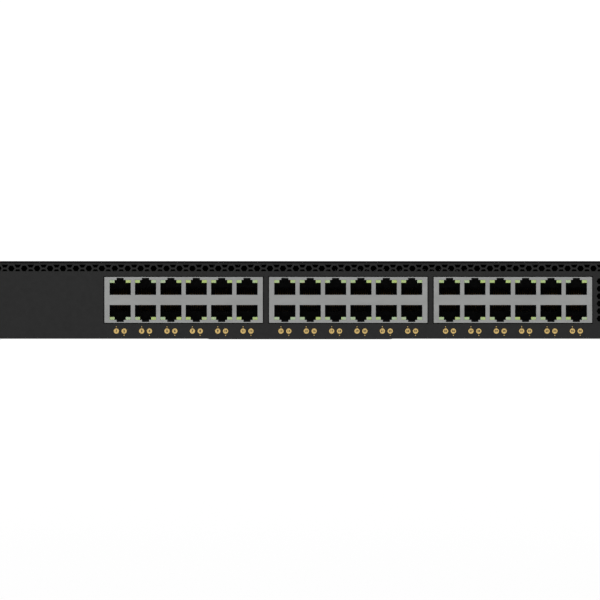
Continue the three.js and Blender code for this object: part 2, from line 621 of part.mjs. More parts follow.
// ---------------------------------------------------------------- screws
// A pan-head screw. Its shank runs from the seat against the head's direction.
function screw(axis, at, seat, direction) {
  const span = (from, to) => [seat + direction * from, seat + direction * to].sort((a, b) => a - b);
  const recess = [SCREW.headHeight - 1.2, SCREW.headHeight + 1];
  const head = cut(rod(axis, at, SCREW.head, span(GAP, GAP + SCREW.headHeight), 12), [
    rod(axis, at, 1.3, span(GAP + recess[0], GAP + recess[1]), 6),
  ]);
  return join([head, rod(axis, at, SCREW.shank, span(-SCREW.length, GAP + 0.5), 8)]);
}

// ---------------------------------------------------------------- assembly
const assembly = new THREE.Group();
assembly.position.y = -DEPTH_CENTRE;
const add = (name, body, finish) => assembly.add(mesh(name, body, finish));

add("chassis_base", chassisBase(), CHASSIS_PAINT);
add("top_cover", topCover(), CHASSIS_PAINT);
add("front_panel", frontPanel(), PANEL_PAINT);
add("psu_bay_frame", supplyBayFrame(), CHASSIS_PAINT);
add("air_baffle", airBaffle(), CHASSIS_PAINT);

for (const [side, sign] of [["left", -1], ["right", 1]]) {
  add("rack_ear_" + side, rackEar(sign), PANEL_PAINT);
  EAR_SCREWS.forEach((at, i) => {
    const seat = sign * (HALF_WIDTH + GAP + EAR.flange);
    add("ear_screw_" + side + "_" + (i + 1), screw("x", at, seat, sign), ZINC);
  });
}

for (const { letter, x } of BLOCKS) {
  add("jack_shield_" + letter, jackShield(x, PORTS_PER_ROW), NICKEL);
  add("jack_housing_" + letter, jackHousing(x, PORTS_PER_ROW), BLACK_PLASTIC);
  const { half, y, top } = PHY_SINK;
  add("phy_heatsink_" + letter, heatsink([x - half, x + half], y, [BOARD_Z[1] + GAP, top], 15), ALUMINIUM);
}
add("management_jack_shield", jackShield(MANAGEMENT_X, 1), NICKEL);
add("management_jack_housing", jackHousing(MANAGEMENT_X, 1), BLACK_PLASTIC);
add("usb_a_port", receptacle(USB_A, USB_A_TONGUE), NICKEL);
add("usb_c_port", receptacle(USB_C, USB_C_TONGUE), NICKEL);
add("sfp_cage", sfpCage(), NICKEL);
add("indicator_board", indicatorBoard(), CIRCUIT_BOARD);
add("status_light_pipe", statusLightPipe(), LIGHT_PIPE);
add("reset_switch", resetSwitch(), BLACK_PLASTIC);
add("reset_button", resetButton(), BLACK_PLASTIC);

add("main_board", mainBoard(), CIRCUIT_BOARD);
add("switch_chip", box([CHIP_AT.x - CHIP_AT.half, CHIP_AT.x + CHIP_AT.half],
  [CHIP_AT.y - CHIP_AT.half, CHIP_AT.y + CHIP_AT.half], CHIP_AT.z), CHIP);
add("switch_heatsink", heatsink([CHIP_AT.x - SINK_HALF, CHIP_AT.x + SINK_HALF],
  [CHIP_AT.y - SINK_HALF, CHIP_AT.y + SINK_HALF], [CHIP_AT.z[1] + GAP, 39.5], 20), ALUMINIUM);
add("cpu_module", cpuModule(), CIRCUIT_BOARD);
add("power_backplane", powerBackplane(), CIRCUIT_BOARD);

FAN_XS.forEach((x, i) => {
  add("fan_frame_" + (i + 1), fanFrame(x, FAN_Z, FAN_FRONT_Y, FAN_SIZE), BLACK_PLASTIC);
  add("fan_rotor_" + (i + 1), fanRotor(x, FAN_Z, FAN_FRONT_Y, FAN_SIZE), BLACK_PLASTIC);
});

for (const [letter, x] of Object.entries(SUPPLY_XS)) {
  const fan = [x + SUPPLY_FAN_DX, SUPPLY_MID_Z, SUPPLY_Y[1] - SHEET - 1.3 - FAN_DEPTH, SUPPLY_FAN_SIZE];
  add("psu_" + letter + "_case", supplyCase(x), ZINC);
  add("psu_" + letter + "_board", supplyBoard(x), CIRCUIT_BOARD);
  add("psu_" + letter + "_inlet", supplyInlet(x), BLACK_PLASTIC);
  add("psu_" + letter + "_fan_frame", fanFrame(...fan), BLACK_PLASTIC);
  add("psu_" + letter + "_fan_rotor", fanRotor(...fan), BLACK_PLASTIC);
  add("psu_" + letter + "_handle", supplyHandle(x), BLACK_PLASTIC);
  add("psu_" + letter + "_latch", supplyLatch(x), LATCH_PLASTIC);
}

add("ground_screw", screw("y", GROUND_AT, CHASSIS_DEPTH, 1), ZINC);

const networkSwitch = new THREE.Group();
networkSwitch.add(assembly);
export default networkSwitch;
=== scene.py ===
"""Looks of the rack-mount network switch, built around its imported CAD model."""
import math

import bmesh
import bpy
from mathutils import Matrix, Vector


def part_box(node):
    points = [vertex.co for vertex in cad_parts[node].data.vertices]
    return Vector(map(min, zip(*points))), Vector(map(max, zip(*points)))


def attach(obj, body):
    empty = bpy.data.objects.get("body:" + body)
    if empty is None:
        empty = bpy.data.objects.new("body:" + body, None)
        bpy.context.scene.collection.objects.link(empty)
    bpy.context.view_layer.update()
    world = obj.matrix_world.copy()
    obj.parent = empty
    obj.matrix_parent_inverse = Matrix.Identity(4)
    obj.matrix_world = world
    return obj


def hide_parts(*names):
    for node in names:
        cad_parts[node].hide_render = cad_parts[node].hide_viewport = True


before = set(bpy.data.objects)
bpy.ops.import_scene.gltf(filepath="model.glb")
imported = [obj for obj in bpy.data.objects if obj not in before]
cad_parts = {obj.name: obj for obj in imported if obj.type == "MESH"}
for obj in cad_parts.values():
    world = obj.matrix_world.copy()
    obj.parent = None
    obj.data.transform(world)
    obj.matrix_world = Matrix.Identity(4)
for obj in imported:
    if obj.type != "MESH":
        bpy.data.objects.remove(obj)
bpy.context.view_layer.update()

# Shapes are worked out in millimetres and scaled to metres when a piece is finished.
MM = 0.001


def mm_box(node):
    low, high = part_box(node)
    return Vector(low) / MM, Vector(high) / MM


def middle_xz(low, high):
    return (low.x + high.x) / 2, (low.z + high.z) / 2


PANEL_LOW, PANEL_HIGH = mm_box("front_panel")
COVER_LOW, COVER_HIGH = mm_box("top_cover")
BASE_LOW, BASE_HIGH = mm_box("chassis_base")
FRONT_Y = PANEL_LOW.y
HALF_WIDTH = PANEL_HIGH.x
BOTTOM_Z = PANEL_LOW.z
SHEET = 0.8
BASE_SHEET = 1.0
GAP = 0.3
MID_Z = (PANEL_LOW.z + COVER_HIGH.z) / 2

# Port blocks, as the CAD's shells place them.
JACK_PITCH = 14.11
PORTS_PER_ROW = 6
CUTOUT_MARGIN = 0.45
SHELL_WALL = 0.5
JACK_HALF_WIDTH = 5.9
JACK_NEAR_Z = 2.81
JACK_LAMP_Z = 9.46
JACK_STEP_Z = 11.13
JACK_NOTCH_Z = 12.3
JACK_STEP_HALF = 3.06
JACK_NOTCH_HALF = 1.98
BLOCKS = [("jack_shield_" + letter, PORTS_PER_ROW) for letter in "abc"] + [("management_jack_shield", 1)]
SHELLS = [name for name, _ in BLOCKS] + ["sfp_cage", "usb_a_port"]

# Vents.
HEX_PITCH = 4.156
HEX_FLATS = 3.17
COLUMN_STEP = HEX_PITCH * math.sqrt(3) / 2
TOP_VENT_X = -2.28
TOP_VENT_Z = 39.42
TOP_VENT_SPAN = (37.84, 41.62)
TOP_VENT_REACH = 214.5
SIDE_VENT_X = 166.8
SIDE_VENT_COLUMNS = 3


# -------- outlines
def circle(centre, radius, steps=32, start=0.0, sweep=2 * math.pi):
    closed = abs(sweep - 2 * math.pi) < 1e-6
    count = steps if closed else steps + 1
    return [(centre[0] + radius * math.cos(start + sweep * i / steps),
             centre[1] + radius * math.sin(start + sweep * i / steps)) for i in range(count)]


def hexagon(x, z):
    return circle((x, z), HEX_FLATS / math.sqrt(3), 6)


def rectangle(x0, x1, z0, z1):
    return [(x0, z0), (x1, z0), (x1, z1), (x0, z1)]


def front_of(low, high, margin=0.0):
    """A box's outline from the front, wider by that margin all round."""
    return rectangle(low.x - margin, high.x + margin, low.z - margin, high.z + margin)


def rounded(points, radius, steps=4):
    """The same outline with every corner turned into an arc of that radius."""
    result = []
    count = len(points)
    for i in range(count):
        corner = Vector(points[i])
        before = Vector(points[i - 1]) - corner
        after = Vector(points[(i + 1) % count]) - corner
        half_angle = before.angle(after) / 2
        reach = min(radius / math.tan(half_angle), before.length * 0.45, after.length * 0.45)
        start = corner + before.normalized() * reach
        end = corner + after.normalized() * reach
        for step in range(steps + 1):
            t = step / steps
            result.append(tuple((1 - t) ** 2 * start + 2 * t * (1 - t) * corner + t ** 2 * end))
    return result


def clipped(points, low, high):
    """The part of a convex outline between two heights."""
    for limit, keep in ((low, lambda v: v >= low), (high, lambda v: v <= high)):
        kept = []
        for (u0, v0), (u1, v1) in zip(points, points[1:] + points[:1]):
            if keep(v0):
                kept.append((u0, v0))
            if keep(v0) != keep(v1):
                share = (limit - v0) / (v1 - v0)
                kept.append((u0 + share * (u1 - u0), limit))
        points = kept
    return points


def hex_field(centre, reach, inside):
    """Hexagonal holes around a centre, where inside(x, z) holds."""
    holes = []
    columns = int(reach / COLUMN_STEP) + 1
    rows = int(reach / HEX_PITCH) + 1
    for column in range(-columns, columns + 1):
        for row in range(-rows, rows + 1):
            x = centre[0] + column * COLUMN_STEP
            z = centre[1] + (row + (column % 2) / 2) * HEX_PITCH
            if inside(x, z):
                holes.append(hexagon(x, z))
    return holes


def round_field(centre, radius):
    reach = radius - HEX_FLATS / 2
    return hex_field(centre, radius, lambda x, z: math.hypot(x - centre[0], z - centre[1]) <= reach)


# -------- solids
def merge_into(target, source):
    """Adds one bmesh to another and frees it."""
    mesh = bpy.data.meshes.new("part")
    source.to_mesh(mesh)
    source.free()
    target.from_mesh(mesh)
    bpy.data.meshes.remove(mesh)
    return target


def placed(name, data):
    """A new object in the scene."""
    made = bpy.data.objects.new(name, data)
    bpy.context.scene.collection.objects.link(made)
    return made


def curve_to_bmesh(curve):
    holder = placed("outline", curve)
    shaped = holder.evaluated_get(bpy.context.evaluated_depsgraph_get())
    mesh = bpy.data.meshes.new_from_object(shaped)
    bm = bmesh.new()
    bm.from_mesh(mesh)
    bpy.data.objects.remove(holder)
    bpy.data.meshes.remove(mesh)
    return bm


AXES = {
    "x": lambda at: Matrix(((0, 0, 1, at), (1, 0, 0, 0), (0, 1, 0, 0), (0, 0, 0, 1))),
    "y": lambda at: Matrix(((1, 0, 0, 0), (0, 0, 1, at), (0, 1, 0, 0), (0, 0, 0, 1))),
    "z": lambda at: Matrix(((1, 0, 0, 0), (0, 1, 0, 0), (0, 0, 1, at), (0, 0, 0, 1))),
}


def plate(outline, holes, axis, span, edge=0.12):
    """A flat sheet with rounded edges, drawn in the two other axes and filling the span along this one."""
    thickness = span[1] - span[0]
    curve = bpy.data.curves.new("outline", "CURVE")
    curve.dimensions = "2D"
    curve.fill_mode = "BOTH"
    curve.extrude = thickness / 2 - edge
    curve.bevel_depth = edge
    curve.bevel_resolution = 1
    curve.offset = -edge
    for points in [outline, *holes]:
        spline = curve.splines.new("POLY")
        spline.points.add(len(points) - 1)
        for point, (u, v) in zip(spline.points, points):
            point.co = (u, v, 0, 1)
        spline.use_cyclic_u = True
    bm = curve_to_bmesh(curve)
    bpy.data.curves.remove(curve)
    bmesh.ops.remove_doubles(bm, verts=bm.verts, dist=1e-4)
    bmesh.ops.transform(bm, matrix=AXES[axis](sum(span) / 2), verts=bm.verts)
    return bm


def block(low, high, edge=0.15, segments=2):
    """A box with rounded edges."""
    bm = bmesh.new()
    bmesh.ops.create_cube(bm, size=1)
    size = Vector(high) - Vector(low)
    middle = (Vector(high) + Vector(low)) / 2
    bmesh.ops.transform(bm, matrix=Matrix.Translation(middle) @ Matrix.Diagonal((*size, 1)), verts=bm.verts)
    if edge:
        bmesh.ops.bevel(bm, geom=bm.edges[:], offset=edge, segments=segments, profile=0.5, affect="EDGES")
    return bm


def side_sheet(sign, outer, y_span, z_span):
    """An upright sheet on the left or the right, whose outer face is that far from the middle."""
    x0, x1 = sorted((sign * outer, sign * (outer - SHEET)))
    return block((x0, y_span[0], z_span[0]), (x1, y_span[1], z_span[1]), 0.1)


def turned(profile, centre, direction, steps=32):
    """A body of revolution. The profile is (radius, height along the direction) pairs from axis to axis."""
    bm = bmesh.new()
    turn = Vector((0, 0, 1)).rotation_difference(Vector(direction)).to_matrix().to_4x4()
    place = Matrix.Translation(Vector(centre)) @ turn
    rings = []
    for radius, height in profile:
        if radius < 1e-6:
            rings.append([bm.verts.new(place @ Vector((0, 0, height)))])
            continue
        rings.append([bm.verts.new(place @ Vector((radius * math.cos(2 * math.pi * i / steps),
                                                   radius * math.sin(2 * math.pi * i / steps), height)))
                      for i in range(steps)])
    for lower, upper in zip(rings, rings[1:]):
        for i in range(steps):
            j = (i + 1) % steps
            corners = [lower[i % len(lower)], lower[j % len(lower)],
                       upper[j % len(upper)], upper[i % len(upper)]]
            unique = list(dict.fromkeys(corners))
            if len(unique) > 2:
                bm.faces.new(unique)
    return bm


def skin(bm, rings):
    """Faces around a run of equal rings, and a cap at each end."""
    count = len(rings[0])
    for one, two in zip(rings, rings[1:]):
        for i in range(count):
            j = (i + 1) % count
            bm.faces.new((one[i], one[j], two[j], two[i]))
    bm.faces.new(rings[0])
    bm.faces.new(rings[-1])


def swept(path, section, side):
    """A solid bar along a flat path. Side is the path's normal; the section is (along side, across) pairs."""
    bm = bmesh.new()
    side = Vector(side)
    points = [Vector(p) for p in path]
    rings = []
    for i, point in enumerate(points):
        ahead = points[min(i + 1, len(points) - 1)] - point
        behind = point - points[max(i - 1, 0)]
        tangent = (ahead.normalized() + behind.normalized()).normalized()
        across = tangent.cross(side).normalized()
        mitre = 1.0
        if ahead.length and behind.length:
            mitre = 1 / max(math.cos(ahead.angle(behind) / 2), 0.5)
        rings.append([bm.verts.new(point + side * u + across * v * mitre) for u, v in section])
    skin(bm, rings)
    return bm


def edged_copy(node, edge):
    """A copy of a CAD node's solid with its flat faces merged and its corners rounded."""
    bm = bmesh.new()
    bm.from_mesh(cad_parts[node].data)
    bmesh.ops.transform(bm, matrix=Matrix.Scale(1 / MM, 4), verts=bm.verts)
    bmesh.ops.remove_doubles(bm, verts=bm.verts, dist=1e-3)
    bmesh.ops.dissolve_limit(bm, angle_limit=math.radians(1), verts=bm.verts, edges=bm.edges)
    sharp = [e for e in bm.edges if e.is_manifold and e.calc_face_angle() > math.radians(40)]
    bmesh.ops.bevel(bm, geom=sharp, offset=edge, segments=2, profile=0.5, affect="EDGES", clamp_overlap=True)
    return bm


def piece(name, parts, finish, body="chassis", stands_for=(), smooth=50):
    """Makes one object of one or more solids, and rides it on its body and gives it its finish."""
    bm = bmesh.new()
    for part in parts if isinstance(parts, list) else [parts]:
        merge_into(bm, part)
    bmesh.ops.recalc_face_normals(bm, faces=bm.faces)
    bmesh.ops.transform(bm, matrix=Matrix.Scale(MM, 4), verts=bm.verts)
    mesh = bpy.data.meshes.new(name)
    bm.to_mesh(mesh)
    bm.free()
    mesh.materials.append(FINISHES[finish])
    mesh.shade_smooth()
    mesh.set_sharp_from_angle(angle=math.radians(smooth))
    made = placed(name, mesh)
    even = made.modifiers.new("even_shading", "WEIGHTED_NORMAL")
    even.keep_sharp = True
    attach(made, body)
    if stands_for:
        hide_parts(*stands_for)
    return made


# -------- finishes
def linear(*srgb):
    """Linear colour of an 8-bit sRGB one."""
    return [((c / 255 + 0.055) / 1.055) ** 2.4 if c > 10.3 else c / 255 / 12.92 for c in srgb]


def noise(tree, size, detail=2.0, stretch=(1, 1, 1)):
    """Noise whose features are about that many millimetres across."""
    place = tree.nodes.new("ShaderNodeTexCoord")
    shape = tree.nodes.new("ShaderNodeMapping")
    shape.inputs["Scale"].default_value = stretch
    made = tree.nodes.new("ShaderNodeTexNoise")
    made.inputs["Scale"].default_value = 1 / (size * MM)
    made.inputs["Detail"].default_value = detail
    tree.links.new(place.outputs["Object"], shape.inputs["Vector"])
    tree.links.new(shape.outputs["Vector"], made.inputs["Vector"])
    return made.outputs["Fac"]


def ramp(tree, value, stops):
    """A colour for a value, from (position, linear colour) stops."""
    made = tree.nodes.new("ShaderNodeValToRGB")
    while len(made.color_ramp.elements) < len(stops):
        made.color_ramp.elements.new(0.5)
    for element, (position, colour) in zip(made.color_ramp.elements, stops):
        element.position = position
        element.color = (*colour, 1)
    tree.links.new(value, made.inputs["Fac"])
    return made.outputs["Color"]


def spread(tree, value, low, high):
    made = tree.nodes.new("ShaderNodeMapRange")
    made.inputs["From Min"].default_value = 0.3
    made.inputs["From Max"].default_value = 0.7
    made.inputs["To Min"].default_value = low
    made.inputs["To Max"].default_value = high
    tree.links.new(value, made.inputs["Value"])
    return made.outputs["Result"]


def relief(tree, height, depth, strength=1.0, after=None):
    """Bump of that depth in millimetres, on top of an earlier one."""
    made = tree.nodes.new("ShaderNodeBump")
    made.inputs["Strength"].default_value = strength
    made.inputs["Distance"].default_value = depth * MM
    tree.links.new(height, made.inputs["Height"])
    if after:
        tree.links.new(after, made.inputs["Normal"])
    return made.outputs["Normal"]


def blank(name):
    made = bpy.data.materials.new(name)
    made.use_nodes = True
    return made, made.node_tree, made.node_tree.nodes["Principled BSDF"]


def surface(name, colour, roughness, metallic=0.0, specular=0.5, mottle=0.08, mottle_size=14.0, grain=0.35,
            depth=0.01, stretch=(1, 1, 1), coat=0.0):
    """A finish with a slow mottle in its colour, patches in its gloss and a fine grain in its relief."""
    made, tree, shader = blank(name)
    base = linear(*colour)
    darker = [c * (1 - mottle) for c in base]
    lighter = [c * (1 + mottle) for c in base]
    slow = noise(tree, mottle_size, 4.0, stretch)
    tree.links.new(ramp(tree, slow, [(0.32, darker), (0.68, lighter)]), shader.inputs["Base Color"])
    patches = noise(tree, mottle_size / 5, 3.0, stretch)
    rough = spread(tree, patches, roughness - 0.06, roughness + 0.06)
    tree.links.new(rough, shader.inputs["Roughness"])
    fine = relief(tree, noise(tree, grain, 2.0, stretch), depth, 0.6)
    coarse = relief(tree, noise(tree, grain * 6, 2.0, stretch), depth * 1.5, 0.25, fine)
    tree.links.new(coarse, shader.inputs["Normal"])
    shader.inputs["Metallic"].default_value = metallic
    shader.inputs["Specular IOR Level"].default_value = specular
    shader.inputs["Coat Weight"].default_value = coat
    return made


def circuit_board(name):
    """Green solder mask with paler tracks under it and small tinned pads."""
    made, tree, shader = blank(name)
    place = tree.nodes.new("ShaderNodeTexCoord")
    tracks = tree.nodes.new("ShaderNodeTexVoronoi")
    tracks.feature = "DISTANCE_TO_EDGE"
    tracks.inputs["Scale"].default_value = 1 / (5 * MM)
    pads = tree.nodes.new("ShaderNodeTexVoronoi")
    pads.inputs["Scale"].default_value = 1 / (3.2 * MM)
    for texture in (tracks, pads):
        tree.links.new(place.outputs["Object"], texture.inputs["Vector"])
    mask = ramp(tree, tracks.outputs["Distance"], [(0.04, linear(34, 112, 66)), (0.07, linear(14, 66, 40))])
    tinned = ramp(tree, pads.outputs["Distance"], [(0.13, (1, 1, 1)), (0.16, (0, 0, 0))])
    mix = tree.nodes.new("ShaderNodeMix")
    mix.data_type = "RGBA"
    mix.inputs["B"].default_value = (*linear(190, 190, 186), 1)
    tree.links.new(tinned, mix.inputs["Factor"])
    tree.links.new(mask, mix.inputs["A"])
    tree.links.new(mix.outputs["Result"], shader.inputs["Base Color"])
    tree.links.new(relief(tree, tracks.outputs["Distance"], 0.05, 0.4), shader.inputs["Normal"])
    tree.links.new(spread(tree, noise(tree, 4), 0.3, 0.5), shader.inputs["Roughness"])
    return made


def lamp_lens(name):
    """Frosted plastic lens, each one a little greener or yellower than the next."""
    made, tree, shader = blank(name)
    slow = noise(tree, 9.0, 1.0)
    tints = [(0.35, linear(162, 180, 146)), (0.5, linear(162, 184, 122)), (0.65, linear(168, 188, 108))]
    tree.links.new(ramp(tree, slow, tints), shader.inputs["Base Color"])
    tree.links.new(spread(tree, noise(tree, 1.0), 0.25, 0.4), shader.inputs["Roughness"])
    tree.links.new(relief(tree, noise(tree, 0.3), 0.01, 0.5), shader.inputs["Normal"])
    shader.inputs["Subsurface Weight"].default_value = 0.15
    shader.inputs["Subsurface Scale"].default_value = 0.5 * MM
    return made


FINISHES = {
    "panel_paint": surface("panel_paint", (19, 19, 19), 0.6, specular=0.3, mottle=0.05, grain=0.3,
                           depth=0.012),
    "chassis_paint": surface("chassis_paint", (22, 22, 23), 0.6, specular=0.15, mottle=0.06, grain=0.3,
                             depth=0.012),
    "nickel_shell": surface("nickel_shell", (156, 157, 156), 0.42, metallic=1.0, mottle=0.05, mottle_size=6.0,
                            grain=0.25, depth=0.004, stretch=(0.25, 1, 1)),
    "black_plastic": surface("black_plastic", (9, 9, 10), 0.55, specular=0.12, mottle=0.1, grain=0.2,
                             depth=0.01),
    "zinc_sheet": surface("zinc_sheet", (176, 178, 180), 0.36, metallic=1.0, mottle=0.08, mottle_size=9.0,
                          grain=0.3, depth=0.004, stretch=(1, 0.15, 1)),
    "circuit_board": circuit_board("circuit_board"),
    "aluminium": surface("aluminium", (178, 180, 184), 0.4, metallic=1.0, mottle=0.06, grain=0.25,
                         depth=0.006, stretch=(1, 0.05, 1)),
    "chip": surface("chip", (34, 35, 37), 0.5, mottle=0.08, grain=0.15, depth=0.008),
    "light_pipe": surface("light_pipe", (190, 208, 160), 0.25, mottle=0.05, grain=0.5, depth=0.005, coat=0.3),
    "latch_plastic": surface("latch_plastic", (30, 122, 72), 0.48, mottle=0.06, grain=0.25, depth=0.012),
    "screw_steel": surface("screw_steel", (168, 170, 172), 0.34, metallic=1.0, mottle=0.08, mottle_size=3.0,
                           grain=0.2, depth=0.005),
    "port_lamp": lamp_lens("port_lamp"),
    # The contact gold is painted much darker than bare gold plate, as painted shade for the depths of the
    # sockets and ports.
    "contact_gold": surface("contact_gold", (96, 74, 36), 0.45, metallic=1.0, mottle=0.1, mottle_size=2.0,
                            grain=0.15, depth=0.002),
    "port_mark": surface("port_mark", (203, 171, 100), 0.5, mottle=0.05, mottle_size=2.0, grain=0.15,
                         depth=0.004),
    "mark_ink": surface("mark_ink", (30, 19, 5), 0.6, mottle=0.1, mottle_size=1.0, grain=0.1, depth=0.003),
}


# -------- camera, floor and light
VIEW_WIDTH = 333.8  # how much of the front the picture takes in
VIEW_HEIGHT_Z = 21.85
LENS = 400.0
SENSOR = 36.0
FLOOR_GLOW = 0.86
BACKDROP = 1.05
AMBIENT = 0.45


def camera():
    data = bpy.data.cameras.new("camera")
    data.lens = LENS
    data.sensor_width = SENSOR
    data.clip_end = 100
    made = placed("camera", data)
    distance = VIEW_WIDTH * LENS / SENSOR
    made.location = Vector((0, FRONT_Y - distance, VIEW_HEIGHT_Z)) * MM
    made.rotation_euler = (math.radians(90), 0, 0)
    bpy.context.scene.camera = made


def soft_light(name, place, target, size, power):
    data = bpy.data.lights.new(name, "AREA")
    data.shape = "DISK"
    data.size = size
    data.energy = power
    made = placed(name, data)
    made.location = place
    made.rotation_euler = (Vector(target) - Vector(place)).to_track_quat("-Z", "Y").to_euler()


def studio():
    floor_bm = bmesh.new()
    bmesh.ops.create_grid(floor_bm, x_segments=8, y_segments=8, size=30)
    mesh = bpy.data.meshes.new("studio_floor")
    floor_bm.to_mesh(mesh)
    floor_bm.free()
    made, tree, shader = blank("studio_floor")
    shader.inputs["Roughness"].default_value = 0.9
    shader.inputs["Specular IOR Level"].default_value = 0.0
    shader.inputs["Emission Color"].default_value = (1, 1, 1, 1)
    shader.inputs["Emission Strength"].default_value = FLOOR_GLOW
    pale = [(0.4, (0.24, 0.24, 0.24)), (0.6, (0.26, 0.26, 0.26))]
    tree.links.new(ramp(tree, noise(tree, 400), pale), shader.inputs["Base Color"])
    mesh.materials.append(made)
    floor = placed("studio_floor", mesh)
    floor.location.z = -0.05 * MM

    world = bpy.data.worlds.new("studio")
    bpy.context.scene.world = world
    world.use_nodes = True
    tree = world.node_tree
    output = tree.nodes["World Output"]
    seen = tree.nodes["Background"]
    seen.inputs["Color"].default_value = (1, 1, 1, 1)
    seen.inputs["Strength"].default_value = BACKDROP
    lit = tree.nodes.new("ShaderNodeBackground")
    lit.inputs["Color"].default_value = (1, 1, 1, 1)
    lit.inputs["Strength"].default_value = AMBIENT
    path = tree.nodes.new("ShaderNodeLightPath")
    mix = tree.nodes.new("ShaderNodeMixShader")
    tree.links.new(path.outputs["Is Camera Ray"], mix.inputs["Fac"])
    tree.links.new(lit.outputs["Background"], mix.inputs[1])
    tree.links.new(seen.outputs["Background"], mix.inputs[2])
    tree.links.new(mix.outputs["Shader"], output.inputs["Surface"])

    soft_light("key", (-0.5, -2.2, 1.6), (0, -0.1, 0.02), 1.6, 16)
    soft_light("fill", (1.4, -1.6, 1.0), (0, -0.1, 0.02), 1.4, 7)
    soft_light("top", (0.2, 0.4, 2.4), (0, 0, 0), 2.0, 26)
    soft_light("back", (-0.8, 2.4, 1.2), (0, 0.1, 0.02), 1.4, 12)
    bpy.context.scene.view_settings.view_transform = "Standard"
    bpy.context.scene.view_settings.look = "None"


# -------- front
def top_vents():
    """The honeycomb strip along the top of the panel, cut off above and below."""
    holes = []
    low, high = TOP_VENT_SPAN
    count = int(2 * TOP_VENT_REACH / COLUMN_STEP) + 2
    for column in range(-count, count):
        x = TOP_VENT_X + column * COLUMN_STEP
        if abs(x) > TOP_VENT_REACH:
            continue
        if column % 2 == 0:
            holes.append(hexagon(x, TOP_VENT_Z))
            continue
        holes.append(clipped(hexagon(x, TOP_VENT_Z + HEX_PITCH / 2), low, high))
        holes.append(clipped(hexagon(x, TOP_VENT_Z - HEX_PITCH / 2), low, high))
    return holes


def side_vents():
    holes = []
    for column in range(SIDE_VENT_COLUMNS):
        count = 6 + column % 2
        for row in range(count):
            z = MID_Z + (row - (count - 1) / 2) * HEX_PITCH
            holes.append(hexagon(SIDE_VENT_X + column * COLUMN_STEP, z))
    return holes


def window(node):
    return rounded(front_of(*mm_box(node), CUTOUT_MARGIN), 0.4, 3)


LAMP_XS = [-186.5, -181.5, -176.5, -171.5]
LAMP_Z = 30.0
LAMP_HOLE_RADIUS = 1.25
RESET_AT = (-192.0, 24.0)
RESET_HOLE_RADIUS = 1.1
BEND = 0.8
FLANGE_DEPTH = 9
TAB_DEPTH = 20
TAB_SPAN = (3, 29.5)


def front_panel():
    top = PANEL_HIGH.z
    lip = BOTTOM_Z + BEND
    outline = rectangle(-HALF_WIDTH, HALF_WIDTH, lip - 0.2, top)
    holes = [window(name) for name in SHELLS]
    holes.append(rounded(front_of(*mm_box("usb_c_port"), 0.4), 2.0, 6))
    holes += top_vents() + side_vents()
    holes += [circle((x, LAMP_Z), LAMP_HOLE_RADIUS, 20) for x in LAMP_XS]
    holes.append(circle(RESET_AT, RESET_HOLE_RADIUS, 20))
    face = plate(outline, holes, "y", (FRONT_Y, FRONT_Y + SHEET), 0.1)
    # The lower edge rolls back under the panel.
    centre = (FRONT_Y + BEND, lip)
    roll = circle(centre, BEND, 6, math.pi, math.pi / 2) + [(centre[0], lip)]
    bottom = plate(roll, [], "x", (-HALF_WIDTH, HALF_WIDTH), 0.05)
    tab = HALF_WIDTH - BASE_SHEET - GAP
    root = FRONT_Y + SHEET - 0.1
    flange = block((4 - tab, root, top - SHEET), (tab - 4, FRONT_Y + FLANGE_DEPTH, top), 0.1)
    tabs = [side_sheet(sign, tab, (root, FRONT_Y + TAB_DEPTH), TAB_SPAN) for sign in (-1, 1)]
    piece("front_panel_sheet", [face, bottom, flange, *tabs], "panel_paint", stands_for=["front_panel"])


def jack_columns(node, columns):
    middle, _ = middle_xz(*mm_box(node))
    return [middle + (i - (columns - 1) / 2) * JACK_PITCH for i in range(columns)]


def shell_opening(x, row):
    outline = [
        (JACK_HALF_WIDTH, JACK_NEAR_Z), (JACK_HALF_WIDTH, JACK_STEP_Z), (JACK_NOTCH_HALF, JACK_STEP_Z),
        (JACK_NOTCH_HALF, JACK_NOTCH_Z),
    ]
    full = outline + [(-u, v) for u, v in reversed(outline)]
    return [(x + u, MID_Z + row * v) for u, v in full]


def jack_shell(node, columns):
    """The folded metal shell of a port block: a pierced front, a roof, sides and a back."""
    low, high = mm_box(node)
    wall = SHELL_WALL
    openings = [shell_opening(x, row) for x in jack_columns(node, columns) for row in (1, -1)]
    front = plate(rounded(front_of(low, high), 0.3, 2), openings, "y",
                  (low.y, low.y + wall), 0.06)
    parts = [
        front,
        block((low.x, low.y + wall, high.z - wall), (high.x, high.y, high.z), 0.1),
        block((low.x, low.y + wall, low.z), (low.x + wall, high.y, high.z - wall), 0.1),
        block((high.x - wall, low.y + wall, low.z), (high.x, high.y, high.z - wall), 0.1),
        block((low.x + wall, high.y - wall, low.z), (high.x - wall, high.y, high.z - wall), 0.1),
    ]
    piece(node + "_can", parts, "nickel_shell", stands_for=[node])


LENS_SETBACK = 0.12


def jack_lamps(node, columns):
    """Two lamp lenses in the corners beside each latch notch, set back a little behind the shell's front."""
    low, _ = mm_box(node)
    inside = 0.05
    outside = 0.04
    lenses = []
    for x in jack_columns(node, columns):
        for row in (1, -1):
            z0, z1 = sorted((MID_Z + row * (JACK_LAMP_Z + inside), MID_Z + row * (JACK_STEP_Z - outside)))
            for side in (1, -1):
                near = x + side * (JACK_STEP_HALF + inside)
                far = x + side * (JACK_HALF_WIDTH - outside)
                x0, x1 = sorted((near, far))
                lenses.append(block((x0, low.y + LENS_SETBACK, z0), (x1, low.y + 0.76, z1), 0.12))
    piece(node.replace("shield", "lamps"), lenses, "port_lamp")


WIRE_PITCH = 1.016
WIRE_HALF = 0.2
WIRE_PATH = [(4.2, 3.1), (5.4, 3.25), (11.0, 6.2), (12.2, 6.3)]  # depth, and height from the middle


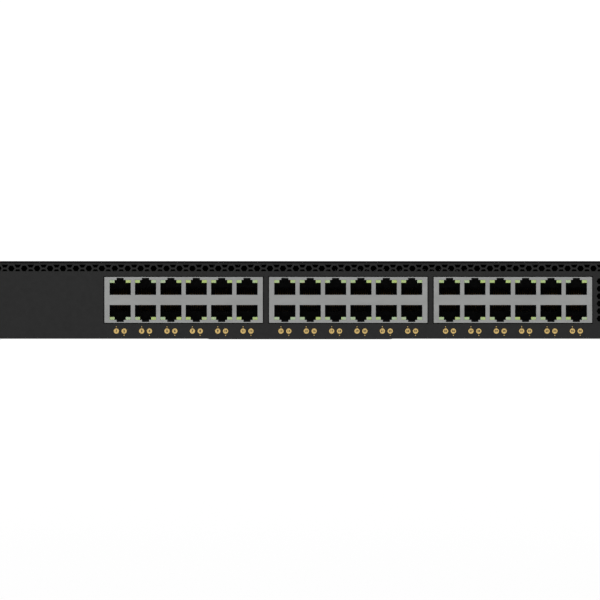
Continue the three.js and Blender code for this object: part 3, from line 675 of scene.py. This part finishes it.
def jack_contacts(node, columns):
    """Eight sprung wires in each socket, rising from the middle wall towards the back."""
    low, _ = mm_box(node)
    wires = []
    section = rectangle(-WIRE_HALF, WIRE_HALF, -WIRE_HALF, WIRE_HALF)
    for x in jack_columns(node, columns):
        for row in (1, -1):
            for i in range(8):
                at = x + (i - 3.5) * WIRE_PITCH
                path = [(at, low.y + depth, MID_Z + row * height) for depth, height in WIRE_PATH]
                wires.append(swept(path, section, (1, 0, 0)))
    piece(node.replace("shield", "contacts"), wires, "contact_gold")


MARK_RADIUS = 1.45
MARK_DX = 2.17
MARK_Z = 4.57
MARK_THICKNESS = 0.06
TICK_HALF = 0.3
TICK_TIP_HALF = 0.14
TICK_HEIGHT = 0.5
TICK_DZ = 2.14


def number_shape(number, x, z, y):
    """A number standing on the front face, as thin raised print."""
    curve = bpy.data.curves.new("figure", "FONT")
    curve.body = str(number)
    curve.align_x = "CENTER"
    curve.align_y = "CENTER"
    curve.size = 1.8 if number < 10 else 1.5
    curve.space_character = 1.15
    curve.extrude = 0.015
    curve.offset = 0.1 if number < 10 else 0.08
    curve.resolution_u = 3
    bm = curve_to_bmesh(curve)
    bpy.data.curves.remove(curve)
    bmesh.ops.remove_doubles(bm, verts=bm.verts, dist=1e-4)
    turn = Matrix(((1, 0, 0, x), (0, 0, -1, y), (0, 1, 0, z), (0, 0, 0, 1)))
    bmesh.ops.transform(bm, matrix=turn, verts=bm.verts)
    return bm


def port_marks():
    """Under each column a disc for its upper port and one for its lower, with numbers and direction ticks."""
    discs = []
    figures = []
    number = 0
    back = FRONT_Y - 0.002
    front = back - MARK_THICKNESS
    for name, columns in BLOCKS[:3]:
        for x in jack_columns(name, columns):
            for side in (-1, 1):
                number += 1
                centre = (x + side * MARK_DX, MARK_Z)
                discs.append(plate(circle(centre, MARK_RADIUS, 40), [], "y", (front, back), 0.02))
                tip = MARK_Z - side * (TICK_DZ + TICK_HEIGHT)
                foot = MARK_Z - side * TICK_DZ
                tick = [(centre[0] - TICK_HALF, foot), (centre[0] + TICK_HALF, foot),
                        (centre[0] + TICK_TIP_HALF, tip), (centre[0] - TICK_TIP_HALF, tip)]
                discs.append(plate(tick, [], "y", (front, back), 0.02))
                figures.append(number_shape(number, centre[0], centre[1], front - 0.016))
    piece("port_discs", discs, "port_mark")
    piece("port_numbers", figures, "mark_ink", smooth=30)


def gaskets():
    """Dark foam frames behind the panel that close the gap around each metal shell."""
    rings = []
    for name in SHELLS:
        low, high = mm_box(name)
        fit = 0.04
        reach = CUTOUT_MARGIN + 0.8
        inner = front_of(low, high, fit)
        outer = front_of(low, high, reach)
        rings.append(plate(outer, [inner], "y", (FRONT_Y + SHEET + 0.05, FRONT_Y + SHEET + 1.6), 0.1))
    piece("port_gaskets", rings, "black_plastic")


CELL_WIDTH = 13.85
CELL_HEIGHT = 8.8
CAGE_BACK = 3
CAGE_LAMP_DZ = 1.5
CAGE_LAMP_HALVES = (1.4, 0.7)


def module_cage():
    """The two-by-two cage for pluggable modules, with a lamp beside each cell."""
    low, high = mm_box("sfp_cage")
    middle_x, middle_z = middle_xz(low, high)
    wall = SHELL_WALL
    half_x, half_z = CAGE_LAMP_HALVES
    fit = 0.07
    cells = []
    lamps = []
    lamp_windows = []
    for sx in (-1, 1):
        for sz in (-1, 1):
            x0 = low.x + wall if sx < 0 else high.x - wall - CELL_WIDTH
            z0 = low.z + wall if sz < 0 else high.z - wall - CELL_HEIGHT
            cells.append(rectangle(x0, x0 + CELL_WIDTH, z0, z0 + CELL_HEIGHT))
            x = middle_x + sx * (CELL_WIDTH + wall) / 2
            z = middle_z + sz * CAGE_LAMP_DZ
            lamp_windows.append(rectangle(x - half_x, x + half_x, z - half_z, z + half_z))
            near = (x - half_x + fit, low.y + LENS_SETBACK, z - half_z + fit)
            far = (x + half_x - fit, low.y + 2.5, z + half_z - fit)
            lamps.append(block(near, far, 0.15))
    outline = rounded(front_of(low, high), 0.4, 3)
    tubes = plate(outline, cells + lamp_windows, "y", (low.y, high.y - CAGE_BACK), 0.1)
    back = block((low.x, high.y - CAGE_BACK, low.z), (high.x, high.y, high.z), 0.1)
    piece("sfp_cage_body", [tubes, back], "nickel_shell", stands_for=["sfp_cage"])
    piece("sfp_cage_lamps", lamps, "port_lamp")


USB_BACK = 1
USB_TONGUE_START = 1.5
USB_A_TONGUE_HALF = 5.5
USB_A_TONGUE_SPAN = (12.2, 13.6)
USB_A_PAD_SPAN = (12.1, 12.26)
USB_A_PAD_XS = (-3.5, -1.0, 1.0, 3.5)
USB_C_TONGUE_HALF = 3.2
USB_C_TONGUE_SPAN = (10.35, 11.05)


def usb_tongue(low, high, half_width, z_span, edge):
    middle, _ = middle_xz(low, high)
    near = (middle - half_width, low.y + USB_TONGUE_START, z_span[0])
    return block(near, (middle + half_width, high.y - USB_BACK, z_span[1]), edge)


def usb_ports():
    low, high = mm_box("usb_a_port")
    wall = 0.4
    rear = high.y - USB_BACK
    outline = rounded(front_of(low, high), 0.5, 3)
    hollow = rounded(front_of(low, high, -wall), 0.3, 3)
    shell = plate(outline, [hollow], "y", (low.y, rear), 0.06)
    back = block((low.x + wall, rear, low.z + wall), (high.x - wall, high.y, high.z - wall), 0.1)
    piece("usb_a_shell", [shell, back], "nickel_shell", stands_for=["usb_a_port"])
    tongue = usb_tongue(low, high, USB_A_TONGUE_HALF, USB_A_TONGUE_SPAN, 0.15)
    piece("usb_a_tongue", tongue, "black_plastic")
    middle, _ = middle_xz(low, high)
    z0, z1 = USB_A_PAD_SPAN
    pads = [block((middle + dx - 0.6, low.y + 2.2, z0), (middle + dx + 0.6, low.y + 9, z1), 0.04)
            for dx in USB_A_PAD_XS]
    piece("usb_a_contacts", pads, "contact_gold")

    low, high = mm_box("usb_c_port")
    wall = 0.35
    rear = high.y - USB_BACK
    outline = rounded(front_of(low, high), 1.65, 8)
    hollow = rounded(front_of(low, high, -wall), 1.3, 8)
    shell = plate(outline, [hollow], "y", (low.y, rear), 0.05)
    back = plate(hollow, [], "y", (rear, high.y), 0.05)
    piece("usb_c_shell", [shell, back], "nickel_shell", stands_for=["usb_c_port"])
    tongue = usb_tongue(low, high, USB_C_TONGUE_HALF, USB_C_TONGUE_SPAN, 0.12)
    piece("usb_c_tongue", tongue, "black_plastic")


def status_lamps():
    low, high = mm_box("status_light_pipe")
    bar = block((low.x, high.y - 4.9, low.z), (high.x, high.y, high.z), 0.4)
    domes = []
    for x in LAMP_XS:
        profile = [(0, 0), (1.0, 0), (1.0, 2.9), (0.9, 3.15), (0.6, 3.3), (0.3, 3.36), (0, 3.38)]
        domes.append(turned(profile, (x, low.y + 3.4, LAMP_Z), (0, -1, 0), 24))
    piece("status_lens_bar", [bar, *domes], "light_pipe", stands_for=["status_light_pipe"])


# -------- chassis, cover and ears
TRAY_TOP_Z = 42.4
CORNER_RADIUS = 1.4
PAD_HALF_WIDTH = 50.9
PAD_HALF_SLOPE = 0.75
PAD_LENGTH = 329
STUDS = [(-190, 100), (-70, 100), (0, 100), (90, 100), (200, 100), (-30, 200), (90, 260), (200, 200),
         (-30, 330), (200, 330)]  # places from the front of the panel
STUD_PROFILE = [(0, 0), (2.6, 0), (2.6, 5.4), (0, 5.4)]
GRILLE_RADIUS = 18.6
FAN_SCREW_OFFSETS = (-16, 16)


def chassis_tray():
    """The bent base tray, its pressed pad and its pierced rear wall."""
    low, high = BASE_LOW, BASE_HIGH
    half = HALF_WIDTH
    inner = half - BASE_SHEET
    corner_centre = (half - CORNER_RADIUS, BOTTOM_Z + CORNER_RADIUS)
    corner = circle(corner_centre, CORNER_RADIUS, 6, -math.pi / 2, math.pi / 2)
    right = corner + [(half, TRAY_TOP_Z), (inner, TRAY_TOP_Z), (inner, BOTTOM_Z + BASE_SHEET + 0.4),
                      (inner - 0.4, BOTTOM_Z + BASE_SHEET)]
    outline = right + [(-u, v) for u, v in reversed(right)]
    tray = plate(outline, [], "y", (low.y, high.y), 0.12)
    wide = PAD_HALF_WIDTH + PAD_HALF_SLOPE
    narrow = PAD_HALF_WIDTH - PAD_HALF_SLOPE
    pad = [(-wide, BOTTOM_Z + 0.5), (-wide, BOTTOM_Z), (-narrow, low.z), (narrow, low.z), (wide, BOTTOM_Z),
           (wide, BOTTOM_Z + 0.5)]
    pressed = plate(pad, [], "y", (low.y, low.y + PAD_LENGTH), 0.02)
    bay_end = mm_box("psu_bay_frame")[1].x + GAP
    holes = []
    screws = []
    for i in (1, 2, 3):
        x, z = middle_xz(*mm_box("fan_frame_%d" % i))
        holes += round_field((x, z), GRILLE_RADIUS)
        screws += [(x + dx, z + dz) for dx in FAN_SCREW_OFFSETS for dz in FAN_SCREW_OFFSETS]
    wall_outline = rectangle(bay_end - GAP, half - 0.6, BOTTOM_Z + 0.4, COVER_HIGH.z - SHEET - 0.05)
    wall = plate(wall_outline, holes, "y", (high.y - BASE_SHEET, high.y), 0.1)
    studs = [turned(STUD_PROFILE, (x, y + FRONT_Y, BOTTOM_Z + BASE_SHEET), (0, 0, 1), 20) for x, y in STUDS]
    piece("chassis_tray", [tray, pressed, wall, *studs], "chassis_paint", stands_for=["chassis_base"])
    heads = [low_head_screw((x, high.y, z), (0, 1, 0), 2.5) for x, z in screws]
    piece("fan_screws", heads, "screw_steel")


def flush_screw(centre, direction, radius):
    """A countersunk head with a round recess, whose top is 0.42 mm above the given centre."""
    top = 0.42
    recess = radius * 0.42
    profile = [(0, -0.1), (radius, -0.1), (radius, top - 0.1), (radius - 0.12, top), (recess, top),
               (recess * 0.9, top - 0.35), (0, top - 0.4)]
    return turned(profile, centre, direction, 24)


def low_head_screw(seat, direction, radius):
    """A low domed head with a round recess, on a seat."""
    height = radius * 0.42
    recess = radius * 0.4
    profile = [(0, 0.01), (radius, 0.01), (radius, height * 0.35), (radius * 0.9, height * 0.75),
               (radius * 0.65, height), (recess, height), (recess * 0.9, height * 0.35), (0, height * 0.3)]
    return turned(profile, seat, direction, 24)


COVER_SCREW_XS = (-205, -102, 0, 102, 205)
COVER_SIDE_SCREW_X = 211
COVER_SIDE_SCREW_YS = (-90, 40)
SEAT_PROFILE = [(0, 0), (3.6, 0), (3.6, 0.35), (0, 0.35)]


def cover_screw_places():
    """Along the front and rear edges, and down both sides."""
    front = [(x, COVER_LOW.y + 14) for x in COVER_SCREW_XS]
    rear = [(x, COVER_HIGH.y - 9) for x in COVER_SCREW_XS]
    sides = [(sign * COVER_SIDE_SCREW_X, y) for sign in (-1, 1) for y in COVER_SIDE_SCREW_YS]
    return front + rear + sides


def top_cover():
    low, high = COVER_LOW, COVER_HIGH
    lid_z = high.z - SHEET
    places = cover_screw_places()
    sheet = plate(rounded(rectangle(low.x, high.x, low.y, high.y), 0.8, 3),
                  [circle(at, 2.75, 28) for at in places], "z", (lid_z, high.z), 0.12)
    outer = HALF_WIDTH - BASE_SHEET - GAP
    flanges = [side_sheet(sign, outer, (low.y + 7.6, high.y - 2), (low.z, lid_z + 0.1)) for sign in (-1, 1)]
    seats = [turned(SEAT_PROFILE, (x, y, lid_z - 0.3), (0, 0, 1), 28) for x, y in places]
    hem = block((2 - outer, high.y - 1.9, lid_z - 0.34), (outer - 2, high.y - 1.1, lid_z + 0.1), 0.1)
    piece("cover_sheet", [sheet, *flanges, *seats, hem], "chassis_paint", stands_for=["top_cover"])
    heads = [flush_screw((x, y, high.z - 0.55), (0, 0, 1), 2.55) for x, y in places]
    piece("cover_screws", heads, "screw_steel")


RACK_SLOT_X = 232.55  # half of the 465.1 mm between a rack's two columns of holes
RACK_SLOT_DZ = 15.875
SLOT_REACH = 1.6
SLOT_RADIUS = 3.4
EAR_HOLE_RADIUS = 2.3
EAR_HOLE_DEPTHS = (28, 52)
EAR_HOLE_ZS = (12, 24)


def rack_ear(side):
    """A bent bracket with two round-ended slots for the rack's screws."""
    name = "rack_ear_" + side
    low, high = mm_box(name)
    sign = -1 if side == "left" else 1
    inner, outer = (high.x, low.x) if sign < 0 else (low.x, high.x)
    thick = 2.0
    bend = 2.6
    slot_x = sign * RACK_SLOT_X
    slots = []
    for z in (MID_Z - RACK_SLOT_DZ, MID_Z + RACK_SLOT_DZ):
        right = circle((slot_x + SLOT_REACH, z), SLOT_RADIUS, 16, -math.pi / 2, math.pi)
        left = circle((slot_x - SLOT_REACH, z), SLOT_RADIUS, 16, math.pi / 2, math.pi)
        slots.append(right + left)
    start = inner + sign * bend
    x0, x1 = sorted((start, outer))
    flange_outline = rectangle(x0, x1, low.z, high.z)
    flange = plate(flange_outline, slots, "y", (low.y, low.y + thick), 0.25)
    lx0, lx1 = sorted((inner, inner + sign * thick))
    holes = [circle((low.y + depth, z), EAR_HOLE_RADIUS, 20)
             for depth in EAR_HOLE_DEPTHS for z in EAR_HOLE_ZS]
    leg = plate(rectangle(low.y + bend, high.y, low.z, high.z), holes, "x", (lx0, lx1), 0.25)
    centre = (start, low.y + bend)
    begin = -math.pi / 2
    turn = -sign * math.pi / 2
    arc_out = circle(centre, bend, 8, begin, turn)
    arc_in = circle(centre, bend - thick, 8, begin, turn)
    corner = plate(arc_out + arc_in[::-1], [], "z", (low.z, high.z), 0.15)
    piece(name + "_bracket", [flange, leg, corner], "panel_paint", stands_for=[name])


PAN_HEAD_HEIGHT = 2.2
PAN_SCREW_PROFILE = [(0, -6.3), (2.0, -6.3), (2.0, 0), (3.85, 0), (3.9, 0.5), (3.75, 1.2), (3.2, 1.8),
                     (2.3, 2.13), (1.35, PAN_HEAD_HEIGHT), (1.1, 0.9), (0, 0.7)]


def pan_screw(node):
    """A pan-head screw with a round recess, turned to the CAD screw's axis."""
    low, high = mm_box(node)
    size = high - low
    axis = max(range(3), key=lambda i: size[i])
    middle = (low + high) / 2
    outward = 1 if middle[axis] > 0 else -1
    direction = Vector((0, 0, 0))
    direction[axis] = outward
    seat = Vector(middle)
    seat[axis] = (high[axis] if outward > 0 else low[axis]) - outward * PAN_HEAD_HEIGHT
    shape = turned(PAN_SCREW_PROFILE, seat, direction, 32)
    piece(node + "_turned", shape, "screw_steel", stands_for=[node])


# -------- fans
# Radii as shares of a fan's size.
FAN_BORE = 0.472
FAN_TIP = 0.448
FAN_HUB = 0.225
FAN_BLADES = 7


def fan_frame(node, body):
    """A square fan housing: round duct, corner bosses with holes, hub plate and four raked struts."""
    low, high = mm_box(node)
    x, z = middle_xz(low, high)
    size = high.x - low.x
    half = size / 2
    bore = size * FAN_BORE
    hub = size * FAN_HUB
    corner_hole = half * 0.8
    outline = rounded(front_of(low, high), size * 0.06, 5)
    drilled = [circle((x + dx * corner_hole, z + dz * corner_hole), size * 0.045, 14)
               for dx in (-1, 1) for dz in (-1, 1)]
    duct_hole = circle((x, z), bore, 64)
    flange = size * 0.09
    waist = front_of(low, high, -0.9)
    parts = [
        plate(outline, [duct_hole, *drilled], "y", (low.y, low.y + flange), 0.15),
        plate(outline, [duct_hole, *drilled], "y", (high.y - flange, high.y), 0.15),
        plate(rounded(waist, half * 0.7, 10), [duct_hole], "y", (low.y + flange, high.y - flange), 0.1),
        turned([(0, 0), (hub, 0), (hub, 2.4), (hub - 0.4, 2.9), (0, 2.9)], (x, high.y - 3, z), (0, 1, 0), 40),
    ]
    strut_y = high.y - 1.6
    strut_section = rectangle(-1.2, 1.2, -0.7, 0.7)
    for i in range(4):
        angle = math.radians(45 + 90 * i + 12)
        start = Vector((x + hub * 0.9 * math.cos(angle), strut_y, z + hub * 0.9 * math.sin(angle)))
        skew = angle - math.radians(20)
        end = Vector((x + (bore + 0.5) * math.cos(skew), strut_y, z + (bore + 0.5) * math.sin(skew)))
        parts.append(swept([start, (start + end) / 2, end], strut_section, (0, 1, 0)))
    piece(node + "_housing", parts, "black_plastic", body, stands_for=[node])


def fan_rotor(node, body):
    """A hub with a rounded nose and seven twisted blades."""
    low, high = mm_box(node)
    frame_low, frame_high = mm_box(node.replace("rotor", "frame"))
    x, z = middle_xz(frame_low, frame_high)
    size = frame_high.x - frame_low.x
    hub = size * FAN_HUB
    tip = size * FAN_TIP
    length = high.y - low.y
    nose = [(0, 0), (hub * 0.7, 0.05), (hub * 0.93, 0.6), (hub, 1.8), (hub, length - 0.4),
            (hub - 0.4, length), (0, length)]
    parts = [turned(nose, (x, low.y, z), (0, 1, 0), 48)]
    middle = (low.y + high.y) / 2
    chord_steps = 8
    span_steps = 6
    for blade in range(FAN_BLADES):
        bm = bmesh.new()
        rows = []
        for s in range(span_steps + 1):
            share = s / span_steps
            radius = hub * 0.97 + (tip - hub * 0.97) * share
            pitch = math.radians(58 - 8 * share)
            chord = size * (0.36 + 0.14 * share)
            sweep = math.radians(14) * share ** 1.5
            upper, lower = [], []
            for c in range(chord_steps + 1):
                t = c / chord_steps
                along = (t - 0.5) * chord
                camber = math.sin(math.pi * t) * chord * 0.07
                thick = (0.1 + 0.55 * math.sin(math.pi * t ** 0.7)) * (1 - 0.4 * share)
                for line, lift in ((upper, camber + thick / 2), (lower, camber - thick / 2)):
                    axial = along * math.cos(pitch) + lift * math.sin(pitch)
                    around = (along * math.sin(pitch) - lift * math.cos(pitch)) / radius
                    angle = 2 * math.pi * blade / FAN_BLADES + sweep + around
                    spot = (x + radius * math.cos(angle), middle + axial * 0.98, z + radius * math.sin(angle))
                    line.append(bm.verts.new(spot))
            rows.append(upper + lower[::-1])
        skin(bm, rows)
        parts.append(bm)
    piece(node + "_blades", parts, "black_plastic", body, stands_for=[node])


# -------- power supplies
LATCH_SLOT_WIDTH = 5.4
LATCH_SLOT_SPAN = (14, 29)
HOOK_SLOT_DEPTHS = (18, 6)  # from the rear edge of the case's sides
HOOK_SLOT_SPAN = (16, 27)
SUPPLY_GRILLE_RADIUS = 17.6
SUPPLY_SCREW_OFFSETS = (-14.6, 14.6)
SUPPLY_LAMP_RADIUS = 1.3
SUPPLY_LAMP_PROFILE = [(0, 0), (1.0, 0), (1.0, 1.1), (0.7, 1.35), (0, 1.45)]
FINGER_SIDE_ZS = (8.0, 13.2, 31.6, 36.8)


def supply(letter):
    """One pull-out supply, with its rotor and its latch as bodies of their own."""
    body = "psu_" + letter
    low, high = mm_box(body + "_case")
    _, middle_z = middle_xz(low, high)
    fan_at = (middle_xz(*mm_box(body + "_fan_frame"))[0], middle_z)
    inlet_low, inlet_high = mm_box(body + "_inlet")
    latch_low, latch_high = mm_box(body + "_latch")
    case_rear = high.y
    inlet_hole = front_of(inlet_low, inlet_high, 0.3)
    latch_slot = rectangle(high.x - LATCH_SLOT_WIDTH, high.x - SHEET, *LATCH_SLOT_SPAN)
    lamp_at = (inlet_high.x - 3.0, low.z + 4.2)
    holes = [rounded(inlet_hole, 1.0, 3), latch_slot, circle(lamp_at, SUPPLY_LAMP_RADIUS, 20)]
    holes += round_field(fan_at, SUPPLY_GRILLE_RADIUS)
    rear = plate(rounded(front_of(low, high), 1.0, 4), holes, "y",
                 (case_rear - SHEET, case_rear), 0.12)
    tube_end = case_rear - SHEET - 0.02
    hook_slot = rectangle(*[tube_end - depth for depth in HOOK_SLOT_DEPTHS], *HOOK_SLOT_SPAN)
    side = rectangle(low.y, tube_end, low.z + 0.4, high.z - 0.4)
    walls = [
        rear,
        plate(side, [hook_slot], "x", (high.x - SHEET, high.x), 0.12),
        plate(side, [], "x", (low.x, low.x + SHEET), 0.12),
        block((low.x + 0.3, low.y, low.z), (high.x - 0.3, tube_end, low.z + SHEET), 0.15),
        block((low.x + 0.3, low.y, high.z - SHEET), (high.x - 0.3, tube_end, high.z), 0.15),
    ]
    piece(body + "_sheet_case", walls, "zinc_sheet", body, stands_for=[body + "_case"])
    spring_fingers(body, low, high)
    lamp = turned(SUPPLY_LAMP_PROFILE, (lamp_at[0], case_rear - 1.2, lamp_at[1]), (0, 1, 0), 24)
    piece(body + "_lamp", lamp, "port_lamp", body)
    inlet(body, inlet_low, inlet_high, middle_z)
    handle(body)
    latch(body, latch_low, latch_high)
    fan_frame(body + "_fan_frame", body)
    fan_rotor(body + "_fan_rotor", body + "_fan")
    screws = [low_head_screw((fan_at[0] + dx, case_rear, fan_at[1] + dz), (0, 1, 0), 2.0)
              for dx in SUPPLY_SCREW_OFFSETS for dz in SUPPLY_SCREW_OFFSETS]
    piece(body + "_fan_screws", screws, "screw_steel", body)


def spring_fingers(body, low, high):
    """Rows of bowed leaf springs that close the gap between a supply and its bay, near its rear edge."""
    rear = high.y - 3.0
    front = rear - 9.0
    bow = 0.5
    leaf = 0.12
    width = 4.4
    steps = 8
    arch = [(front + (rear - front) * i / steps, 0.02 + (bow - leaf) * math.sin(math.pi * i / steps))
            for i in range(steps + 1)]
    outline = arch + [(y, h + leaf) for y, h in reversed(arch)]
    springs = []
    pitch = width + 0.8
    count = int((high.x - low.x - 5) / pitch)
    above = [(y, high.z + h) for y, h in outline]
    middle, _ = middle_xz(low, high)
    for i in range(count):
        x = middle + (i - (count - 1) / 2) * pitch
        springs.append(plate(above, [], "x", (x - width / 2, x + width / 2), 0.02))
    for side in (-1, 1):
        wall = high.x if side > 0 else low.x
        for z in FINGER_SIDE_ZS:
            beside = [(wall + side * h, y) for y, h in outline]
            springs.append(plate(beside, [], "z", (z - width / 2, z + width / 2), 0.02))
    piece(body + "_spring_fingers", springs, "screw_steel", body)


def inlet(body, low, high, middle_z):
    """A mains inlet: black shroud with two cut corners and three flat blades."""
    x = (low.x + high.x) / 2
    depth = 15
    wide, tall, cut = 11.7, 8.1, 4.0
    mouth = [(-wide, -tall), (wide, -tall), (wide, tall - cut), (wide - cut, tall), (cut - wide, tall),
             (-wide, tall - cut)]
    mouth = rounded([(x + u, middle_z + v) for u, v in mouth], 1.2, 4)
    outline = rounded(front_of(low, high), 1.4, 4)
    ring = plate(outline, [mouth], "y", (high.y - depth, high.y), 0.2)
    back = plate(outline, [], "y", (low.y, high.y - depth), 0.1)
    piece(body + "_inlet_shroud", [ring, back], "black_plastic", body, stands_for=[body + "_inlet"])
    blades = []
    for dx, dz in ((-7, -2.5), (7, -2.5), (0, 3)):
        near = (x + dx - 1, low.y + 2, middle_z + dz - 2)
        far = (x + dx + 1, high.y - 2, middle_z + dz + 2)
        blades.append(block(near, far, 0.45, 3))
    piece(body + "_inlet_blades", blades, "screw_steel", body)


def handle(body):
    """A bent pull handle of rounded square bar, with ribs on its grip and two feet."""
    low, high = mm_box(body + "_handle")
    x = (low.x + high.x) / 2
    half = 2.5
    radius = 5.0
    y_end = high.y - half
    z0, z1 = low.z + half, high.z - half
    bends = (circle((y_end - radius, z0 + radius), radius, 6, -math.pi / 2, math.pi / 2)
             + circle((y_end - radius, z1 - radius), radius, 6, 0.0, math.pi / 2))
    path = [(x, y, z) for y, z in [(low.y, z0), *bends, (low.y, z1)]]
    section = rounded(rectangle(-half, half, -half, half), 1.2, 4)
    bar = swept(path, section, (1, 0, 0))
    ribs = [block((x - half, y_end + half - 0.55, z), (x + half, y_end + half, z + 0.9), 0.2)
            for z in [z0 + 8 + 2.2 * i for i in range(6)]]
    feet = [plate(rounded(rectangle(x - half, x + half, z - half, z + half), 0.6, 3), [], "y",
                  (low.y, low.y + 1.6), 0.2) for z in (z0, z1)]
    piece(body + "_handle_bar", [bar, *ribs, *feet], "black_plastic", body, stands_for=[body + "_handle"])


def latch(body, low, high):
    """A flat sprung lever with a hook, a pivot pin and a ribbed thumb pad."""
    arm = edged_copy(body + "_latch", 0.3)
    z0, z1 = 16.5, 26.5
    ribs = []
    for i in range(5):
        y = high.y - 2.4 - 2.0 * i
        ribs.append(block((low.x + 0.65, y - 0.5, z0), (low.x + 1.4, y + 0.5, z1), 0.2))
    piece(body + "_latch_lever", [arm, *ribs], "latch_plastic", body + "_latch", stands_for=[body + "_latch"])


# -------- assembly
# CAD nodes whose own shape is kept, by finish.
KEPT = {
    # The bay frame and the air baffle take the black chassis paint instead of bare zinc, as painted shade
    # that keeps them dark where they show through the front vents.
    "chassis_paint": ["psu_bay_frame", "air_baffle"],
    "black_plastic": ["jack_housing_a", "jack_housing_b", "jack_housing_c", "management_jack_housing",
                      "reset_switch", "reset_button"],
    "circuit_board": ["indicator_board", "main_board", "cpu_module", "power_backplane", "psu_a_board",
                      "psu_b_board"],
    "chip": ["switch_chip"],
    "aluminium": ["switch_heatsink", "phy_heatsink_a", "phy_heatsink_b", "phy_heatsink_c"],
}

camera()
studio()

for finish, nodes in KEPT.items():
    for node in nodes:
        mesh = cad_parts[node].data
        mesh.materials.clear()
        mesh.materials.append(FINISHES[finish])

front_panel()
for node, columns in BLOCKS:
    jack_shell(node, columns)
    jack_lamps(node, columns)
    jack_contacts(node, columns)
port_marks()
gaskets()
module_cage()
usb_ports()
status_lamps()

chassis_tray()
top_cover()
for side in ("left", "right"):
    rack_ear(side)
    for i in range(4):
        pan_screw("ear_screw_%s_%d" % (side, i + 1))
pan_screw("ground_screw")

for i in (1, 2, 3):
    fan_frame("fan_frame_%d" % i, "chassis")
    fan_rotor("fan_rotor_%d" % i, "fan_%d" % i)
for letter in "ab":
    supply(letter)
